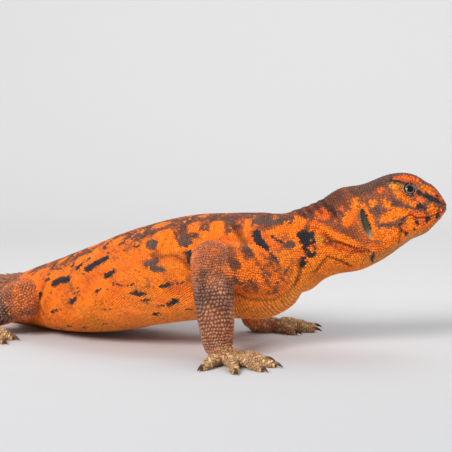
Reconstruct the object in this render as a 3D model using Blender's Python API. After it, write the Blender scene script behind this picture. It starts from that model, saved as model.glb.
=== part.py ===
"""A life-size spiny-tailed lizard (uromastyx) standing on its hands and feet, tail on the floor.

Lengths are written in millimetres and turned to metres by MM. The body is one line from the snout
to the tail tip, with a section at each distance along it. The lizard faces +X and its right side -Y.
"""

import math

import bmesh
import bpy
import numpy as np
from mathutils import Matrix, Vector

MM = 0.001
GAP = 0.3  # space that touching nodes keep
FLOOR_BITE = 0.5  # how far the flats of belly, tail and feet are pressed into the floor before they are cut

# Distances along the body line, from the snout
PLANE_REACH = 8.0  # sections tilt with the line over this reach each way
HEAD_END = 28.5
NECK_END = 50.0
TORSO_END = 154.0
TAIL_TIP = 280.0
SNOUT_ROUNDING = 5.5
TAIL_ROUNDING = 4.0

# (distance, value) pairs that smooth curves pass through
HEADING = ((0, -5), (25, -6), (50, -12), (75, -20), (105, -34), (135, -44), (155, -46), (185, -34),
           (215, -12), (250, 12), (280, 22))
AXIS_HEIGHT = ((0, 43.0), (4, 43.6), (11, 44.1), (18, 42.1), (26, 38.2), (36, 34.9), (44, 31.7),
               (52, 28.1), (62, 25.5), (78, 24.2), (95, 20.8), (112, 16.0), (128, 12.6), (142, 10.3),
               (156, 8.2), (175, 6.6), (205, 5.5), (240, 4.1), (265, 3.0), (280, 2.1))
HALF_HEIGHT = ((0, 3.6), (3, 5.4), (6, 7.4), (11, 9.5), (16, 10.7), (22, 11.7), (30, 11.7), (38, 10.9),
               (45, 11.4), (54, 14.7), (64, 16.0), (78, 16.2), (95, 15.6), (112, 14.4), (128, 12.6),
               (142, 10.8), (156, 8.7), (175, 7.1), (205, 6.0), (240, 4.6), (265, 3.5), (280, 2.6))
HALF_WIDTH = ((0, 3.4), (3, 4.9), (7, 6.7), (11, 8.2), (16, 10.0), (21, 11.4), (27, 11.0), (34, 10.8),
              (42, 12.4), (50, 15.0), (58, 17.2), (70, 18.6), (85, 20.8), (102, 22.6), (118, 21.6),
              (132, 18.2), (144, 14.2), (156, 11.6), (175, 9.8), (205, 7.9), (240, 5.7), (265, 3.9),
              (280, 2.8))
ROUNDNESS = ((0, 2.1), (12, 2.3), (24, 2.2), (50, 2.1), (100, 2.3), (150, 2.2), (280, 2.2))
LEAN = ((0, 0.02), (8, 0.10), (14, 0.14), (22, 0.20), (32, 0.12), (50, 0.06), (100, 0.10), (150, 0.05),
        (280, 0.04))

# Swellings (+) and hollows (-) on both sides: distance, angle above the side, reach along, reach round, height
SWELLINGS = (
    (9.8, 58, 4.4, 14, 1.1),  # brow ridge
    (10.8, 31, 2.8, 14, -0.55),  # hollow of the eye
    (3.6, 42, 1.9, 18, 0.45),  # nostril
    (18.5, 24, 4.6, 20, 0.65),  # temple
    (20.5, -22, 4.6, 24, 0.85),  # jaw muscle
    (6.6, 80, 1.5, 30, -0.4),  # dip before the brow
    (6.5, -84, 5.0, 40, 0.75),  # lower jaw
    (14.0, -84, 4.0, 36, 0.4),  # chin
    (20.2, 90, 3.6, 42, -1.15),  # nape
    (28.0, 86, 4.6, 34, 1.0),  # neck muscle
    (29.5, 0, 2.6, 34, -0.9),  # hollow behind the ear
    (33.5, -82, 7.0, 34, 1.2),  # throat
    (46.5, -84, 2.2, 30, 0.4),  # throat fold
    (51.4, -84, 2.1, 30, -1.6),  # notch before the chest
    (60.0, -84, 5.5, 34, 1.25),  # chest
    (63, 12, 8.0, 28, 1.6),  # shoulder
    (147, 8, 8.0, 40, 1.5),  # hip
)

# Folds of loose skin on both sides: points (distance, angle), half width, height
FOLDS = (
    (((27, -38), (30.6, -18), (33.8, -3), (37.8, 22), (43, 40)), 1.2, 1.0),
    (((47, 62), (43.8, 38), (43.6, 4), (43.4, -34), (41, -60)), 1.3, 0.9),
    (((63, 52), (59, 26), (55.5, -2)), 1.2, -0.9),
    (((88, 10), (101, -12), (112, -34)), 1.6, 0.7),
)

EYE_AT = 10.9
EYE_ANGLE = 32.5
EYE_RADIUS = 2.35
EYE_SUNK = 1.25
LID_RADIUS = 0.55
MOUTH_LINE = ((0.5, -8), (2.3, -19), (5.7, -23), (9, -21), (11.3, -14), (13.8, -17), (15.5, -27))
MOUTH_DEPTH = 0.5
MOUTH_HALF_OPENING = 0.32
NOSTRIL_AT = (3.3, 40)
NOSTRIL_RADIUS = 0.5
EAR_AT = (24.8, 4)
EAR_SIZE = (1.1, 1.3, 4.1)  # half length, half depth, half height
EAR_SLOPE = -6.0
EAR_SCALES = 6

WHORLS = 22
FIRST_WHORL = 157.0
WHORL_SHRINK = 1.15  # the rings of spines get shorter towards the tip
SPLIT_WHORLS = (7, 14)
SPINE_LENGTH = 3.6
SPINE_LIFT = 30.0  # degrees that a spine stands off the tail
WHORL_RISE = 0.55

# Limb joints as (forward, outward, height) from the body line at a distance, and radii there
FORE_AT = 68.0
FORE_JOINTS = ((14.0, 10.0, 24.0), (0.2, 24.0, 28.6), (3.0, 26.5, 5.4))
FORE_JOINTS_LEFT = ((10.0, 10.0, 23.5), (-5.0, 24.0, 27.6), (-1.5, 26.5, 5.4))
FORE_RADII = (7.4, 6.0, 6.2, 4.5)
HAND_TURN = 40.0
HIND_AT = 147.0
HIND_JOINTS = ((0.0, 8.0, 9.5), (16.0, 21.5, 12.0), (1.0, 27.5, 4.8))
HIND_RADII = (8.0, 6.2, 5.6, 3.6)
FOOT_TURN = 34.0
# Digits from the inner to the outer: angle off the hand's own direction (inner is positive), length
HAND_DIGITS = ((62, 7.5), (30, 11.0), (4, 13.2), (-24, 13.0), (-62, 9.5))
FOOT_DIGITS = ((50, 7.5), (24, 11.0), (5, 14.5), (-14, 17.5), (-48, 11.5))
HAND_PALM = (6.2, 4.7, 2.5)  # half length, half width, half thickness
FOOT_PALM = (9.0, 4.7, 2.6)
DIGIT_RADIUS = 1.65
CLAW_LENGTH = 3.4

SKIN_COLOURS = {"orange": (0.90, 0.27, 0.03), "rust": (0.50, 0.17, 0.07), "tan": (0.52, 0.30, 0.10),
                "eye": (0.03, 0.015, 0.01)}


def smooth_curve(stations):
    """A curve through the stations that never overshoots them."""
    x, y = (np.array(column, float) for column in zip(*stations))
    step = np.diff(x)
    slope = np.diff(y) / step
    grade = np.concatenate([slope[:1], np.zeros(len(x) - 2), slope[-1:]])
    for i in range(1, len(x) - 1):
        if slope[i - 1] * slope[i] > 0:
            near, far = 2 * step[i] + step[i - 1], step[i] + 2 * step[i - 1]
            grade[i] = (near + far) / (near / slope[i - 1] + far / slope[i])

    def value(s):
        i = min(max(int(np.searchsorted(x, s)) - 1, 0), len(x) - 2)
        t = min(max((s - x[i]) / step[i], 0.0), 1.0)
        u = 1 - t
        ends = y[i] * (1 + 2 * t) * u * u + y[i + 1] * (3 - 2 * t) * t * t
        return float(ends + step[i] * (grade[i] * t * u * u - grade[i + 1] * t * t * u))

    return value


heading = smooth_curve(HEADING)
axis_height = smooth_curve(AXIS_HEIGHT)
half_height = smooth_curve(HALF_HEIGHT)
half_width = smooth_curve(HALF_WIDTH)
roundness = smooth_curve(ROUNDNESS)
lean = smooth_curve(LEAN)


def body_line(step=0.5):
    """Points every half millimetre from the snout to the tail tip, by heading and height."""
    points = [Vector((0, 0, axis_height(0)))]
    for k in range(1, int(TAIL_TIP / step) + 1):
        s = k * step
        rise = axis_height(s) - axis_height(s - step)
        along = math.sqrt(step * step - rise * rise)
        turn = math.radians(heading(s - step / 2))
        points.append(points[-1] + Vector((-math.cos(turn) * along, -math.sin(turn) * along, rise)))
    return points


BODY_LINE = body_line()


def line_point(s):
    at = min(max(s, 0.0), TAIL_TIP) / TAIL_TIP * (len(BODY_LINE) - 1)
    i = min(int(at), len(BODY_LINE) - 2)
    return BODY_LINE[i].lerp(BODY_LINE[i + 1], at - i)


def frame_at(s):
    """(point, forward, right, up) of the body line."""
    forward = (line_point(s - PLANE_REACH) - line_point(s + PLANE_REACH)).normalized()
    turn = math.radians(heading(s))
    right = Vector((math.sin(turn), -math.cos(turn), 0))
    return line_point(s), forward, right, right.cross(forward)


def round_end(distance, reach):
    """1 beyond reach, falling to 0 at the end as a quarter circle does."""
    t = min(max(distance / reach, 0.0), 1.0)
    return math.sqrt(t * (2 - t))


def skin_relief(s, angle):
    """Height of the swellings and folds, angle in degrees above the right or left side."""
    side = angle if -90 <= angle <= 90 else (180 - angle if angle <= 270 else angle - 360)
    height = 0.0
    for at, turn, reach, spread, rise in SWELLINGS:
        height += rise * math.exp(-(((s - at) / reach) ** 2) - ((side - turn) / spread) ** 2)
    per_degree = math.radians(1) * (half_height(s) + half_width(s)) / 2
    here = Vector((s, side * per_degree))
    for path, width, rise in FOLDS:
        if not path[0][0] - 12 < s < path[-1][0] + 12 and not path[-1][0] - 12 < s < path[0][0] + 12:
            continue
        places = [Vector((at, turn * per_degree)) for at, turn in path]
        nearest = 1e9
        for a, b in zip(places, places[1:]):
            t = min(max((here - a).dot(b - a) / (b - a).length_squared, 0.0), 1.0)
            nearest = min(nearest, (here - a.lerp(b, t)).length)
        height += rise * math.exp(-((nearest / width) ** 2))
    return height


def skin_point(s, angle, grow=0.0):
    """A point of the skin: angle 0 is the right side, 90 the back, 180 the left side, 270 the belly."""
    point, _, right, up = frame_at(s)
    end = round_end(s, SNOUT_ROUNDING) * round_end(TAIL_TIP - s, TAIL_ROUNDING)
    turn = math.radians(angle)
    across, above = math.cos(turn), math.sin(turn)
    n = roundness(s)
    reach = (abs(across) ** n + abs(above) ** n) ** (-1 / n)
    wide = half_width(s) * end + grow
    high = half_height(s) * end + grow
    x = wide * reach * across * (1 - lean(s) * above)
    z = high * reach * above
    relief = skin_relief(s, angle % 360) * end
    normal = Vector((x / wide / wide, z / high / high))
    normal.normalize()
    return point + right * (x + normal.x * relief) + up * (z + normal.y * relief)


def skin_frame(s, angle):
    """(point, outward, backward) on the skin."""
    here = skin_point(s, angle)
    backward = (skin_point(s + 0.6, angle) - skin_point(s - 0.6, angle)).normalized()
    around = (skin_point(s, angle + 3) - skin_point(s, angle - 3)).normalized()
    return here, around.cross(backward).normalized(), backward


def loft(name, rings):
    """A closed skin over rings of equally many points, with flat ends."""
    mesh = bmesh.new()
    made = [[mesh.verts.new(point * MM) for point in ring] for ring in rings]
    for a, b in zip(made, made[1:]):
        for i in range(len(a)):
            j = (i + 1) % len(a)
            mesh.faces.new((a[i], a[j], b[j], b[i]))
    mesh.faces.new(made[0][::-1])
    mesh.faces.new(made[-1])
    bmesh.ops.recalc_face_normals(mesh, faces=mesh.faces)
    bmesh.ops.triangulate(mesh, faces=mesh.faces)
    data = bpy.data.meshes.new(name)
    mesh.to_mesh(data)
    mesh.free()
    body = bpy.data.objects.new(name, data)
    bpy.context.collection.objects.link(body)
    return body


def section(s, sides, grow=0.0, move=0.0):
    """A ring of the skin, moved forward or back as a whole where a gap is left beside it."""
    _, forward, _, _ = frame_at(s)
    return [skin_point(s, 360 * k / sides, grow) + forward * move for k in range(sides)]


def body_length(name, distances, sides, grow=0.0, front=0.0, back=0.0):
    rings = [section(s, sides, grow) for s in distances[1:-1]]
    rings.insert(0, section(distances[0], sides, grow, -front))
    rings.append(section(distances[-1], sides, grow, back))
    return loft(name, rings)


def spaced(start, end, step):
    count = max(int(round((end - start) / step)), 1)
    return [start + (end - start) * k / count for k in range(count + 1)]


def across_ring(centre, direction, radii, sides, turn=0.0, level=Vector((0, 0, 1))):
    """A ring of points round a direction, radii being sideways and in height."""
    side = direction.cross(level)
    side = side.normalized() if side.length > 1e-3 else Vector((0, 1, 0))
    top = side.cross(direction).normalized()
    ring = []
    for k in range(sides):
        a = 2 * math.pi * k / sides + turn
        ring.append(centre + side * (math.cos(a) * radii[0]) + top * (math.sin(a) * radii[1]))
    return ring


def rounded_limb(name, start, end, first, last, bulge=0.0, grow=0.0, sides=12, level=Vector((0, 0, 1))):
    """A limb between two joints, each end a dome, the middle swollen by bulge."""
    direction = (end - start).normalized()
    first, last = first + grow, last + grow
    rings = []
    for tilt in (78, 42):
        a = math.radians(tilt)
        rings.append((start - direction * first * math.sin(a), first * math.cos(a)))
    for k in range(6):
        t = k / 5
        radius = first + (last - first) * t + bulge * math.sin(math.pi * t)
        rings.append((start.lerp(end, t), radius))
    for tilt in (42, 78):
        a = math.radians(tilt)
        rings.append((end + direction * last * math.sin(a), last * math.cos(a)))
    return loft(name, [across_ring(c, direction, (r, r), sides, level=level) for c, r in rings])


def spine(name, root, direction, length, radius, sides=4, width=1.0):
    """A tapered spine, its root sunk into what it grows from."""
    direction = direction.normalized()
    foot = root - direction * 0.8
    reach = length + 0.8
    rings = [across_ring(foot + direction * reach * t, direction, (radius * w * width, radius * w), sides, 0.4)
             for t, w in ((0.0, 1.0), (1.0, 0.12))]
    return loft(name, rings)


def boolean(body, others, operation, solver="MANIFOLD"):
    """Joins or cuts with a collection of closed meshes, applies it and removes them."""
    group = bpy.data.collections.new(body.name + "_pieces")
    bpy.context.scene.collection.children.link(group)
    for other in others:
        for holder in list(other.users_collection):
            holder.objects.unlink(other)
        group.objects.link(other)
    step = body.modifiers.new("pieces", "BOOLEAN")
    step.operand_type = "COLLECTION"
    step.collection = group
    step.operation = operation
    step.solver = solver
    graph = bpy.context.evaluated_depsgraph_get()
    made = bpy.data.meshes.new_from_object(body.evaluated_get(graph))
    body.modifiers.remove(step)
    body.data = made
    for other in others:
        bpy.data.objects.remove(other)
    bpy.data.collections.remove(group)
    return body


def closed_pieces(mesh):
    """Lists of faces that hang together."""
    left = set(mesh.faces)
    pieces = []
    while left:
        stack = [left.pop()]
        piece = list(stack)
        while stack:
            for edge in stack.pop().edges:
                for face in edge.link_faces:
                    if face in left:
                        left.remove(face)
                        stack.append(face)
                        piece.append(face)
        pieces.append(piece)
    return pieces


def face_volume(face):
    a = face.verts[0].co
    return sum(a.dot(b.co.cross(c.co)) / 6 for b, c in zip(face.verts[1:], face.verts[2:]))


def keep_largest(body):
    """Drops loose scraps, so that the node is one closed surface."""
    mesh = bmesh.new()
    mesh.from_mesh(body.data)
    bmesh.ops.remove_doubles(mesh, verts=mesh.verts, dist=2e-6)
    pieces = sorted(closed_pieces(mesh), key=lambda faces: -sum(map(face_volume, faces)))
    scraps = [face for piece in pieces[1:] for face in piece]
    bmesh.ops.delete(mesh, geom=scraps, context="FACES")
    bmesh.ops.triangulate(mesh, faces=mesh.faces)
    mesh.to_mesh(body.data)
    mesh.free()
    return body


def block(name, centre, axes, half):
    """A cutter: a box with its half sizes along three directions."""
    bpy.ops.mesh.primitive_cube_add(size=2)
    box = bpy.context.object
    box.name = name
    turn = Matrix([axes[0], axes[1], axes[2]]).transposed().to_4x4()
    box.data.transform(Matrix.Translation(centre * MM) @ turn @ Matrix.Diagonal((*(Vector(half) * MM), 1)))
    return box


def floor_block():
    axes = (Vector((1, 0, 0)), Vector((0, 1, 0)), Vector((0, 0, 1)))
    return block("floor_cutter", Vector((-100, 0, -30)), axes, (400, 400, 30))


def ball(name, centre, radius, segments=14, rings=8):
    bpy.ops.mesh.primitive_uv_sphere_add(segments=segments, ring_count=rings, radius=radius * MM,
                                         location=centre * MM)
    made = bpy.context.object
    made.name = name
    made.data.transform(made.matrix_world)
    made.matrix_world = Matrix.Identity(4)
    return made


def angle_on(side, angle):
    """The angle round the body of a place on the right (1) or left (-1) side."""
    return angle if side > 0 else 180 - angle


def eye_centre(side):
    here, outward, _ = skin_frame(EYE_AT, angle_on(side, EYE_ANGLE))
    return here - outward * EYE_SUNK, outward


def lid_ring(side):
    """The two lids as one raised ring round the eye, longer than high."""
    centre, outward = eye_centre(side)
    rings = []
    steps, sides = 18, 6
    _, _, backward = skin_frame(EYE_AT, angle_on(side, EYE_ANGLE))
    top = outward.cross(backward).normalized()
    rim = centre + outward * 1.35
    mesh = bmesh.new()
    for k in range(steps):
        a = 2 * math.pi * k / steps
        radial = backward * math.cos(a) + top * math.sin(a)
        at = rim + backward * (2.35 * math.cos(a)) + top * (1.95 * math.sin(a))
        ring = []
        for j in range(sides):
            b = 2 * math.pi * j / sides
            ring.append(mesh.verts.new((at + (radial * math.cos(b) + outward * math.sin(b)) * LID_RADIUS) * MM))
        rings.append(ring)
    for i in range(steps):
        a, b = rings[i], rings[(i + 1) % steps]
        for j in range(sides):
            n = (j + 1) % sides
            mesh.faces.new((a[j], a[n], b[n], b[j]))
    bmesh.ops.recalc_face_normals(mesh, faces=mesh.faces)
    data = bpy.data.meshes.new("lids")
    mesh.to_mesh(data)
    mesh.free()
    made = bpy.data.objects.new("lids", data)
    bpy.context.collection.objects.link(made)
    return made


def mouth_cutter():
    """A thin wedge along the lips, from one corner of the mouth round the snout to the other."""
    turn_at = smooth_curve(MOUTH_LINE)
    back = (15.4, 14.6, 13, 11.4, 9.6, 7.6, 5.7, 4, 2.6, 1.4, 0.7)
    places = [(s, -1) for s in back] + [(s, 1) for s in back[::-1]]
    rings = []
    for s, side in places:
        here, outward, _ = skin_frame(s, angle_on(side, turn_at(s)))
        _, _, _, up = frame_at(s)
        opening = MOUTH_HALF_OPENING * (0.6 if s > 15 else 1.0)
        inner = here - outward * MOUTH_DEPTH
        outer = here + outward * 0.8
        rings.append([inner + up * 0.1, outer + up * opening * 1.6, outer - up * opening * 1.6, inner - up * 0.1])
    return loft("mouth_cutter", rings)


def ear_cutter(side):
    """The cup of one ear, and its place and directions."""
    here, outward, backward = skin_frame(EAR_AT[0], angle_on(side, EAR_AT[1]))
    top = backward.cross(outward).normalized()
    if top.z < 0:
        top = -top
    slope = math.radians(EAR_SLOPE)
    tall = (top * math.cos(slope) + backward * math.sin(slope)).normalized()
    along = outward.cross(tall).normalized()
    cup = ball("ear_cutter", Vector(), 1.0, 12, 8)
    turn = Matrix([along, outward, tall]).transposed().to_4x4()
    size = Matrix.Diagonal((EAR_SIZE[0], EAR_SIZE[1], EAR_SIZE[2], 1))
    cup.data.transform(Matrix.Translation(here * MM) @ turn @ size)
    if turn.determinant() < 0:
        cup.data.flip_normals()
    return cup, here, tall, outward, backward


def head():
    body = body_length("head", [0.06, 0.35, 0.9, 1.8, 3] + spaced(4.2, HEAD_END, 1.3), 36, back=GAP / 2)
    joined = [lid_ring(side) for side in (1, -1)]
    cutters = [mouth_cutter()]
    for side in (1, -1):
        centre, _ = eye_centre(side)
        cutters.append(ball("socket", centre, EYE_RADIUS + GAP))
        nostril, outward, _ = skin_frame(NOSTRIL_AT[0], angle_on(side, NOSTRIL_AT[1]))
        cutters.append(ball("nostril", nostril + outward * 0.1, NOSTRIL_RADIUS, 8, 6))
        cup, here, tall, outward, backward = ear_cutter(side)
        cutters.append(cup)
        for k in range(EAR_SCALES):
            t = k / (EAR_SCALES - 1) - 0.5
            root = here + tall * (EAR_SIZE[2] * 1.7 * t) - backward * 1.0
            root -= outward * 0.45
            joined.append(spine("ear_scale", root, backward + outward * 0.75, 1.3, 0.62))
    boolean(body, joined, "UNION")
    boolean(body, cutters, "DIFFERENCE")
    return keep_largest(body)


def eyes():
    made = []
    for side, name in ((1, "eye_right"), (-1, "eye_left")):
        centre, _ = eye_centre(side)
        made.append(ball(name, centre, EYE_RADIUS))
    return made


def whorl_start(k):
    return FIRST_WHORL + (TAIL_TIP - 1.5 - FIRST_WHORL) * (1 - (1 - k / WHORLS) ** WHORL_SHRINK)


def spine_reach(s, angle):
    """Length of a tail spine: longest on the sides, shorter on the back, mere scales below."""
    size = (half_width(s) + 2.5) / 13 * min(1.0, 0.4 + (s - FIRST_WHORL) / 30)
    height = math.sin(math.radians(angle))
    if height < -0.2:
        return SPINE_LENGTH * size * max(0.25, 0.8 + 2.2 * (height + 0.2))
    return SPINE_LENGTH * size * (1.0 - 0.32 * max(height, 0.0))


def spine_ring(s, sides):
    """The rear edge of one whorl: spine tips, and the notches between them."""
    ring = []
    for k in range(sides):
        angle = 360 * k / sides
        here, outward, backward = skin_frame(s, angle)
        if k % 2:
            ring.append(here + outward * WHORL_RISE * 0.5)
        else:
            lift = math.radians(SPINE_LIFT)
            way = backward * math.cos(lift) + outward * math.sin(lift)
            ring.append(here + outward * WHORL_RISE * 0.6 + way * spine_reach(s, angle))
    return ring


def ridge_ring(s, sides):
    """The middle of one whorl, with a ridge leading to each spine."""
    ring = []
    for k in range(sides):
        here, outward, _ = skin_frame(s, 360 * k / sides)
        ring.append(here + outward * WHORL_RISE * (0.45 if k % 2 else 1.0))
    return ring


def tail_length(name, first, last, sides):
    """Whorls from one to another; the base also holds the plain root of the tail."""
    start = TORSO_END if first == 0 else whorl_start(first)
    rings = [section(start, sides, 0.0, -GAP / 2)]
    for k in range(first, last):
        here, after = whorl_start(k), whorl_start(k + 1)
        if here > start:
            rings.append(section(here, sides))
        rings.append(ridge_ring(here + (after - here) * 0.45, sides))
        rings.append(spine_ring(here + (after - here) * 0.84, sides))
    if last == WHORLS:
        rings += [section(TAIL_TIP - back, sides) for back in (1.5, 0.5, 0.06)]
    else:
        rings.append(section(whorl_start(last), sides, 0.0, GAP / 2))
    body = loft(name, rings)
    boolean(body, [floor_block()], "DIFFERENCE")
    return keep_largest(body)


def placed(at, side, offset):
    """A point given as (forward, outward, height) from the body line, on the right or left."""
    point, forward, right, _ = frame_at(at)
    level = Vector((forward.x, forward.y, 0)).normalized()
    flat = Vector((point.x, point.y, 0))
    return flat + level * offset[0] + right * (offset[1] * side) + Vector((0, 0, offset[2]))


def digit_pieces(palm, direction, side, digits, palm_size):
    """Fingers or toes: each an arched finger with its claw."""
    made = []
    for turn, length in digits:
        a = math.radians(turn) * side
        way = Vector((direction.x * math.cos(a) - direction.y * math.sin(a),
                      direction.x * math.sin(a) + direction.y * math.cos(a), 0))
        along, across = abs(math.cos(a)), abs(math.sin(a))
        knuckle = palm + way * (palm_size[0] * 0.55 * along + palm_size[1] * 0.62 * across)
        knuckle.z = 2.0
        rings = []
        for k, t in enumerate((0.0, 0.35, 0.7, 0.92, 1.0)):
            radius = DIGIT_RADIUS * (1.0, 1.0, 0.9, 0.76, 0.5)[k]
            height = radius - FLOOR_BITE * 0.6 + 0.75 * math.sin(math.pi * min(t * 1.35, 1.0))
            rings.append(across_ring(Vector((knuckle.x, knuckle.y, height)) + way * length * t,
                                     way, (radius * 1.02, radius), 6))
        made.append(loft("digit", rings))
        tip = knuckle + way * (length - 0.9)
        rings = []
        for t, radius in ((0.0, 0.86), (0.55, 0.6), (1.0, 0.12)):
            height = 1.25 + 0.5 * math.sin(math.pi * t * 0.9) - 1.0 * t * t
            rings.append(across_ring(Vector((tip.x, tip.y, height)) + way * (CLAW_LENGTH + 0.9) * t,
                                     way, (radius * 0.72, radius), 5))
        made.append(loft("claw", rings))
    return made


def limb(side, at, joints, radii, palm_size, digits, turn, names):
    """One leg: upper and lower part and the hand or foot, each hollowed by the one above with a gap."""
    root, bend, wrist = (placed(at, side, joint) for joint in joints)
    _, forward, _, _ = frame_at(at)
    aim = -math.radians(turn) * side
    level = Vector((forward.x, forward.y, 0)).normalized()
    direction = Vector((level.x * math.cos(aim) - level.y * math.sin(aim),
                        level.x * math.sin(aim) + level.y * math.cos(aim), 0))
    palm = Vector((wrist.x, wrist.y, palm_size[2] - FLOOR_BITE)) + direction * (palm_size[0] * 0.72)
    middle = []
    for t, w in ((-1.0, 0.3), (-0.8, 0.68), (-0.35, 0.94), (0.3, 1.0), (0.75, 0.8), (1.0, 0.4)):
        middle.append(across_ring(palm + direction * palm_size[0] * t, direction,
                                  (palm_size[1] * w, palm_size[2] * max(w, 0.5)), 12))
    across = Vector((1, 0.2, 0))
    upper = rounded_limb(names[0], root, bend, radii[0], radii[1], 0.5)
    lower = rounded_limb(names[1], bend, wrist, radii[2], radii[3], 0.4, level=across)
    end = loft(names[2], middle)
    boolean(end, digit_pieces(palm, direction, side, digits, palm_size), "UNION")
    boolean(upper, [trunk_shell(), floor_block()], "DIFFERENCE")
    above = rounded_limb("cutter", root, bend, radii[0], radii[1], 0.5, GAP)
    boolean(lower, [above, trunk_shell()], "DIFFERENCE")
    above = rounded_limb("cutter", bend, wrist, radii[2], radii[3], 0.4, GAP, level=across)
    boolean(end, [above, floor_block()], "DIFFERENCE")
    return [keep_largest(piece) for piece in (upper, lower, end)]


def trunk_shell():
    """The trunk grown by the gap, which the legs are hollowed by."""
    places = spaced(HEAD_END, NECK_END, 1.9)[3:] + spaced(NECK_END, TORSO_END, 3.6)[1:] + [160, 168, 176]
    return body_length("trunk_shell", places, 32, GAP + 0.12)


def legs():
    made = []
    for side, word, joints in ((1, "right", FORE_JOINTS), (-1, "left", FORE_JOINTS_LEFT)):
        made += limb(side, FORE_AT, joints, FORE_RADII, HAND_PALM, HAND_DIGITS, HAND_TURN,
                     (f"upper_arm_{word}", f"forearm_{word}", f"hand_{word}"))
        made += limb(side, HIND_AT, HIND_JOINTS, HIND_RADII, FOOT_PALM, FOOT_DIGITS, FOOT_TURN,
                     (f"thigh_{word}", f"shank_{word}", f"foot_{word}"))
    return made


def trunk():
    neck = body_length("neck", spaced(HEAD_END, NECK_END, 1.9), 32, 0.0, GAP / 2, GAP / 2)
    torso = body_length("torso", spaced(NECK_END, TORSO_END, 3.6), 32, 0.0, GAP / 2, GAP / 2)
    boolean(torso, [floor_block()], "DIFFERENCE")
    return [neck, keep_largest(torso)]


def tail():
    ends = (0, *SPLIT_WHORLS, WHORLS)
    names = ("tail_base", "tail_middle", "tail_tip")
    return [tail_length(name, ends[k], ends[k + 1], (28, 24, 20)[k]) for k, name in enumerate(names)]


def finish(bodies):
    """Colours each node and sets the origin under the middle of the whole lizard."""
    points = [body.matrix_world @ vert.co for body in bodies for vert in body.data.vertices]
    low = Vector(min(point[k] for point in points) for k in range(3))
    high = Vector(max(point[k] for point in points) for k in range(3))
    shift = Vector((-(low.x + high.x) / 2, -(low.y + high.y) / 2, 0))
    for body in bodies:
        body.data.transform(Matrix.Translation(shift))
        kind = body.name.split("_")[0]
        colour = {"eye": "eye", "hand": "tan", "foot": "tan", "forearm": "rust", "shank": "rust"}.get(kind, "orange")
        paint = bpy.data.materials.get(colour) or bpy.data.materials.new(colour)
        paint.use_nodes = True
        shader = paint.node_tree.nodes["Principled BSDF"]
        shader.inputs["Base Color"].default_value = (*SKIN_COLOURS[colour], 1)
        shader.inputs["Roughness"].default_value = 0.1 if colour == "eye" else 0.6
        body.data.materials.clear()
        body.data.materials.append(paint)
        body.data.shade_smooth()
        body.data.set_sharp_from_angle(angle=math.radians(50))


def main():
    for old in list(bpy.data.objects):
        bpy.data.objects.remove(old)
    finish([head(), *eyes(), *trunk(), *tail(), *legs()])


main()
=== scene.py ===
"""A spiny-tailed lizard: one skin, a coat of single scales over it, eyes, claws and a plain stage.

The body is one line from the snout to the tail tip. A place on it is given as a distance along that line
and an angle round it: 0 the right side, 90 the back, 180 the left side, 270 the belly. Lengths in the
tables are millimetres; points and meshes are metres in the frame of the CAD model.
"""

import math

import bmesh
import bpy
import numpy as np
from mathutils import Matrix, Vector
from mathutils.bvhtree import BVHTree
from mathutils.kdtree import KDTree

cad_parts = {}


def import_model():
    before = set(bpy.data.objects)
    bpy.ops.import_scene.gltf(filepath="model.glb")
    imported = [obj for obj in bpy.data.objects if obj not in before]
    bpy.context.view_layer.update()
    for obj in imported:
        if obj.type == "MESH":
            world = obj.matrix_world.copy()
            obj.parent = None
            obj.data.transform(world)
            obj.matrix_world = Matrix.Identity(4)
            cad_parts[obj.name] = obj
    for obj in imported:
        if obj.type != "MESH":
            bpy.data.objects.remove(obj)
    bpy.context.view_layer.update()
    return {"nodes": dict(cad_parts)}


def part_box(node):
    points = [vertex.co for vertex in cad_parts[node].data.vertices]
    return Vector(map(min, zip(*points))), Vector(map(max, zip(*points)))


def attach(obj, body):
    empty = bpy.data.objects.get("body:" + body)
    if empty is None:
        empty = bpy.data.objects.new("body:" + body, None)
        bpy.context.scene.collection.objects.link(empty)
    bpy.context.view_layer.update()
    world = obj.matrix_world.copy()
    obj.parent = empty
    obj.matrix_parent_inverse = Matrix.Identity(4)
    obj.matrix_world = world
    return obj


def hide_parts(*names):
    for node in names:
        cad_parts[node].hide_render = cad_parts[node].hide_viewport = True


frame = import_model()

bl_info = {
    "name": "Spiny-tailed lizard",
    "version": (1, 0, 0),
    "blender": (4, 5, 0),
    "location": "3D View > Sidebar > Lizard",
    "description": "Builds the lizard's skin, scales, eyes and claws over its CAD model",
    "category": "Add Mesh",
}

MM = 0.001
PLANE_REACH = 8.0  # sections tilt with the body line over this reach each way
TAIL_TIP = 280.0
SNOUT_ROUNDING = 5.5
TAIL_ROUNDING = 4.0

# Where one kind of scale gives way to the next along the body line
SNOUT_END = 8.6
CROWN_END = 27
NECK_END = 50
TRUNK_PARTS = (("front", NECK_END, 86), ("middle", 86, 121), ("rear", 121, 157))
BELLY_EDGE = -50  # angle under which the belly's tiles begin
THROAT_EDGE = ((0, 8, 16, 27, 50), (-46, -48, -46, -48, -48))  # angle under which the throat's scales begin

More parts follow.
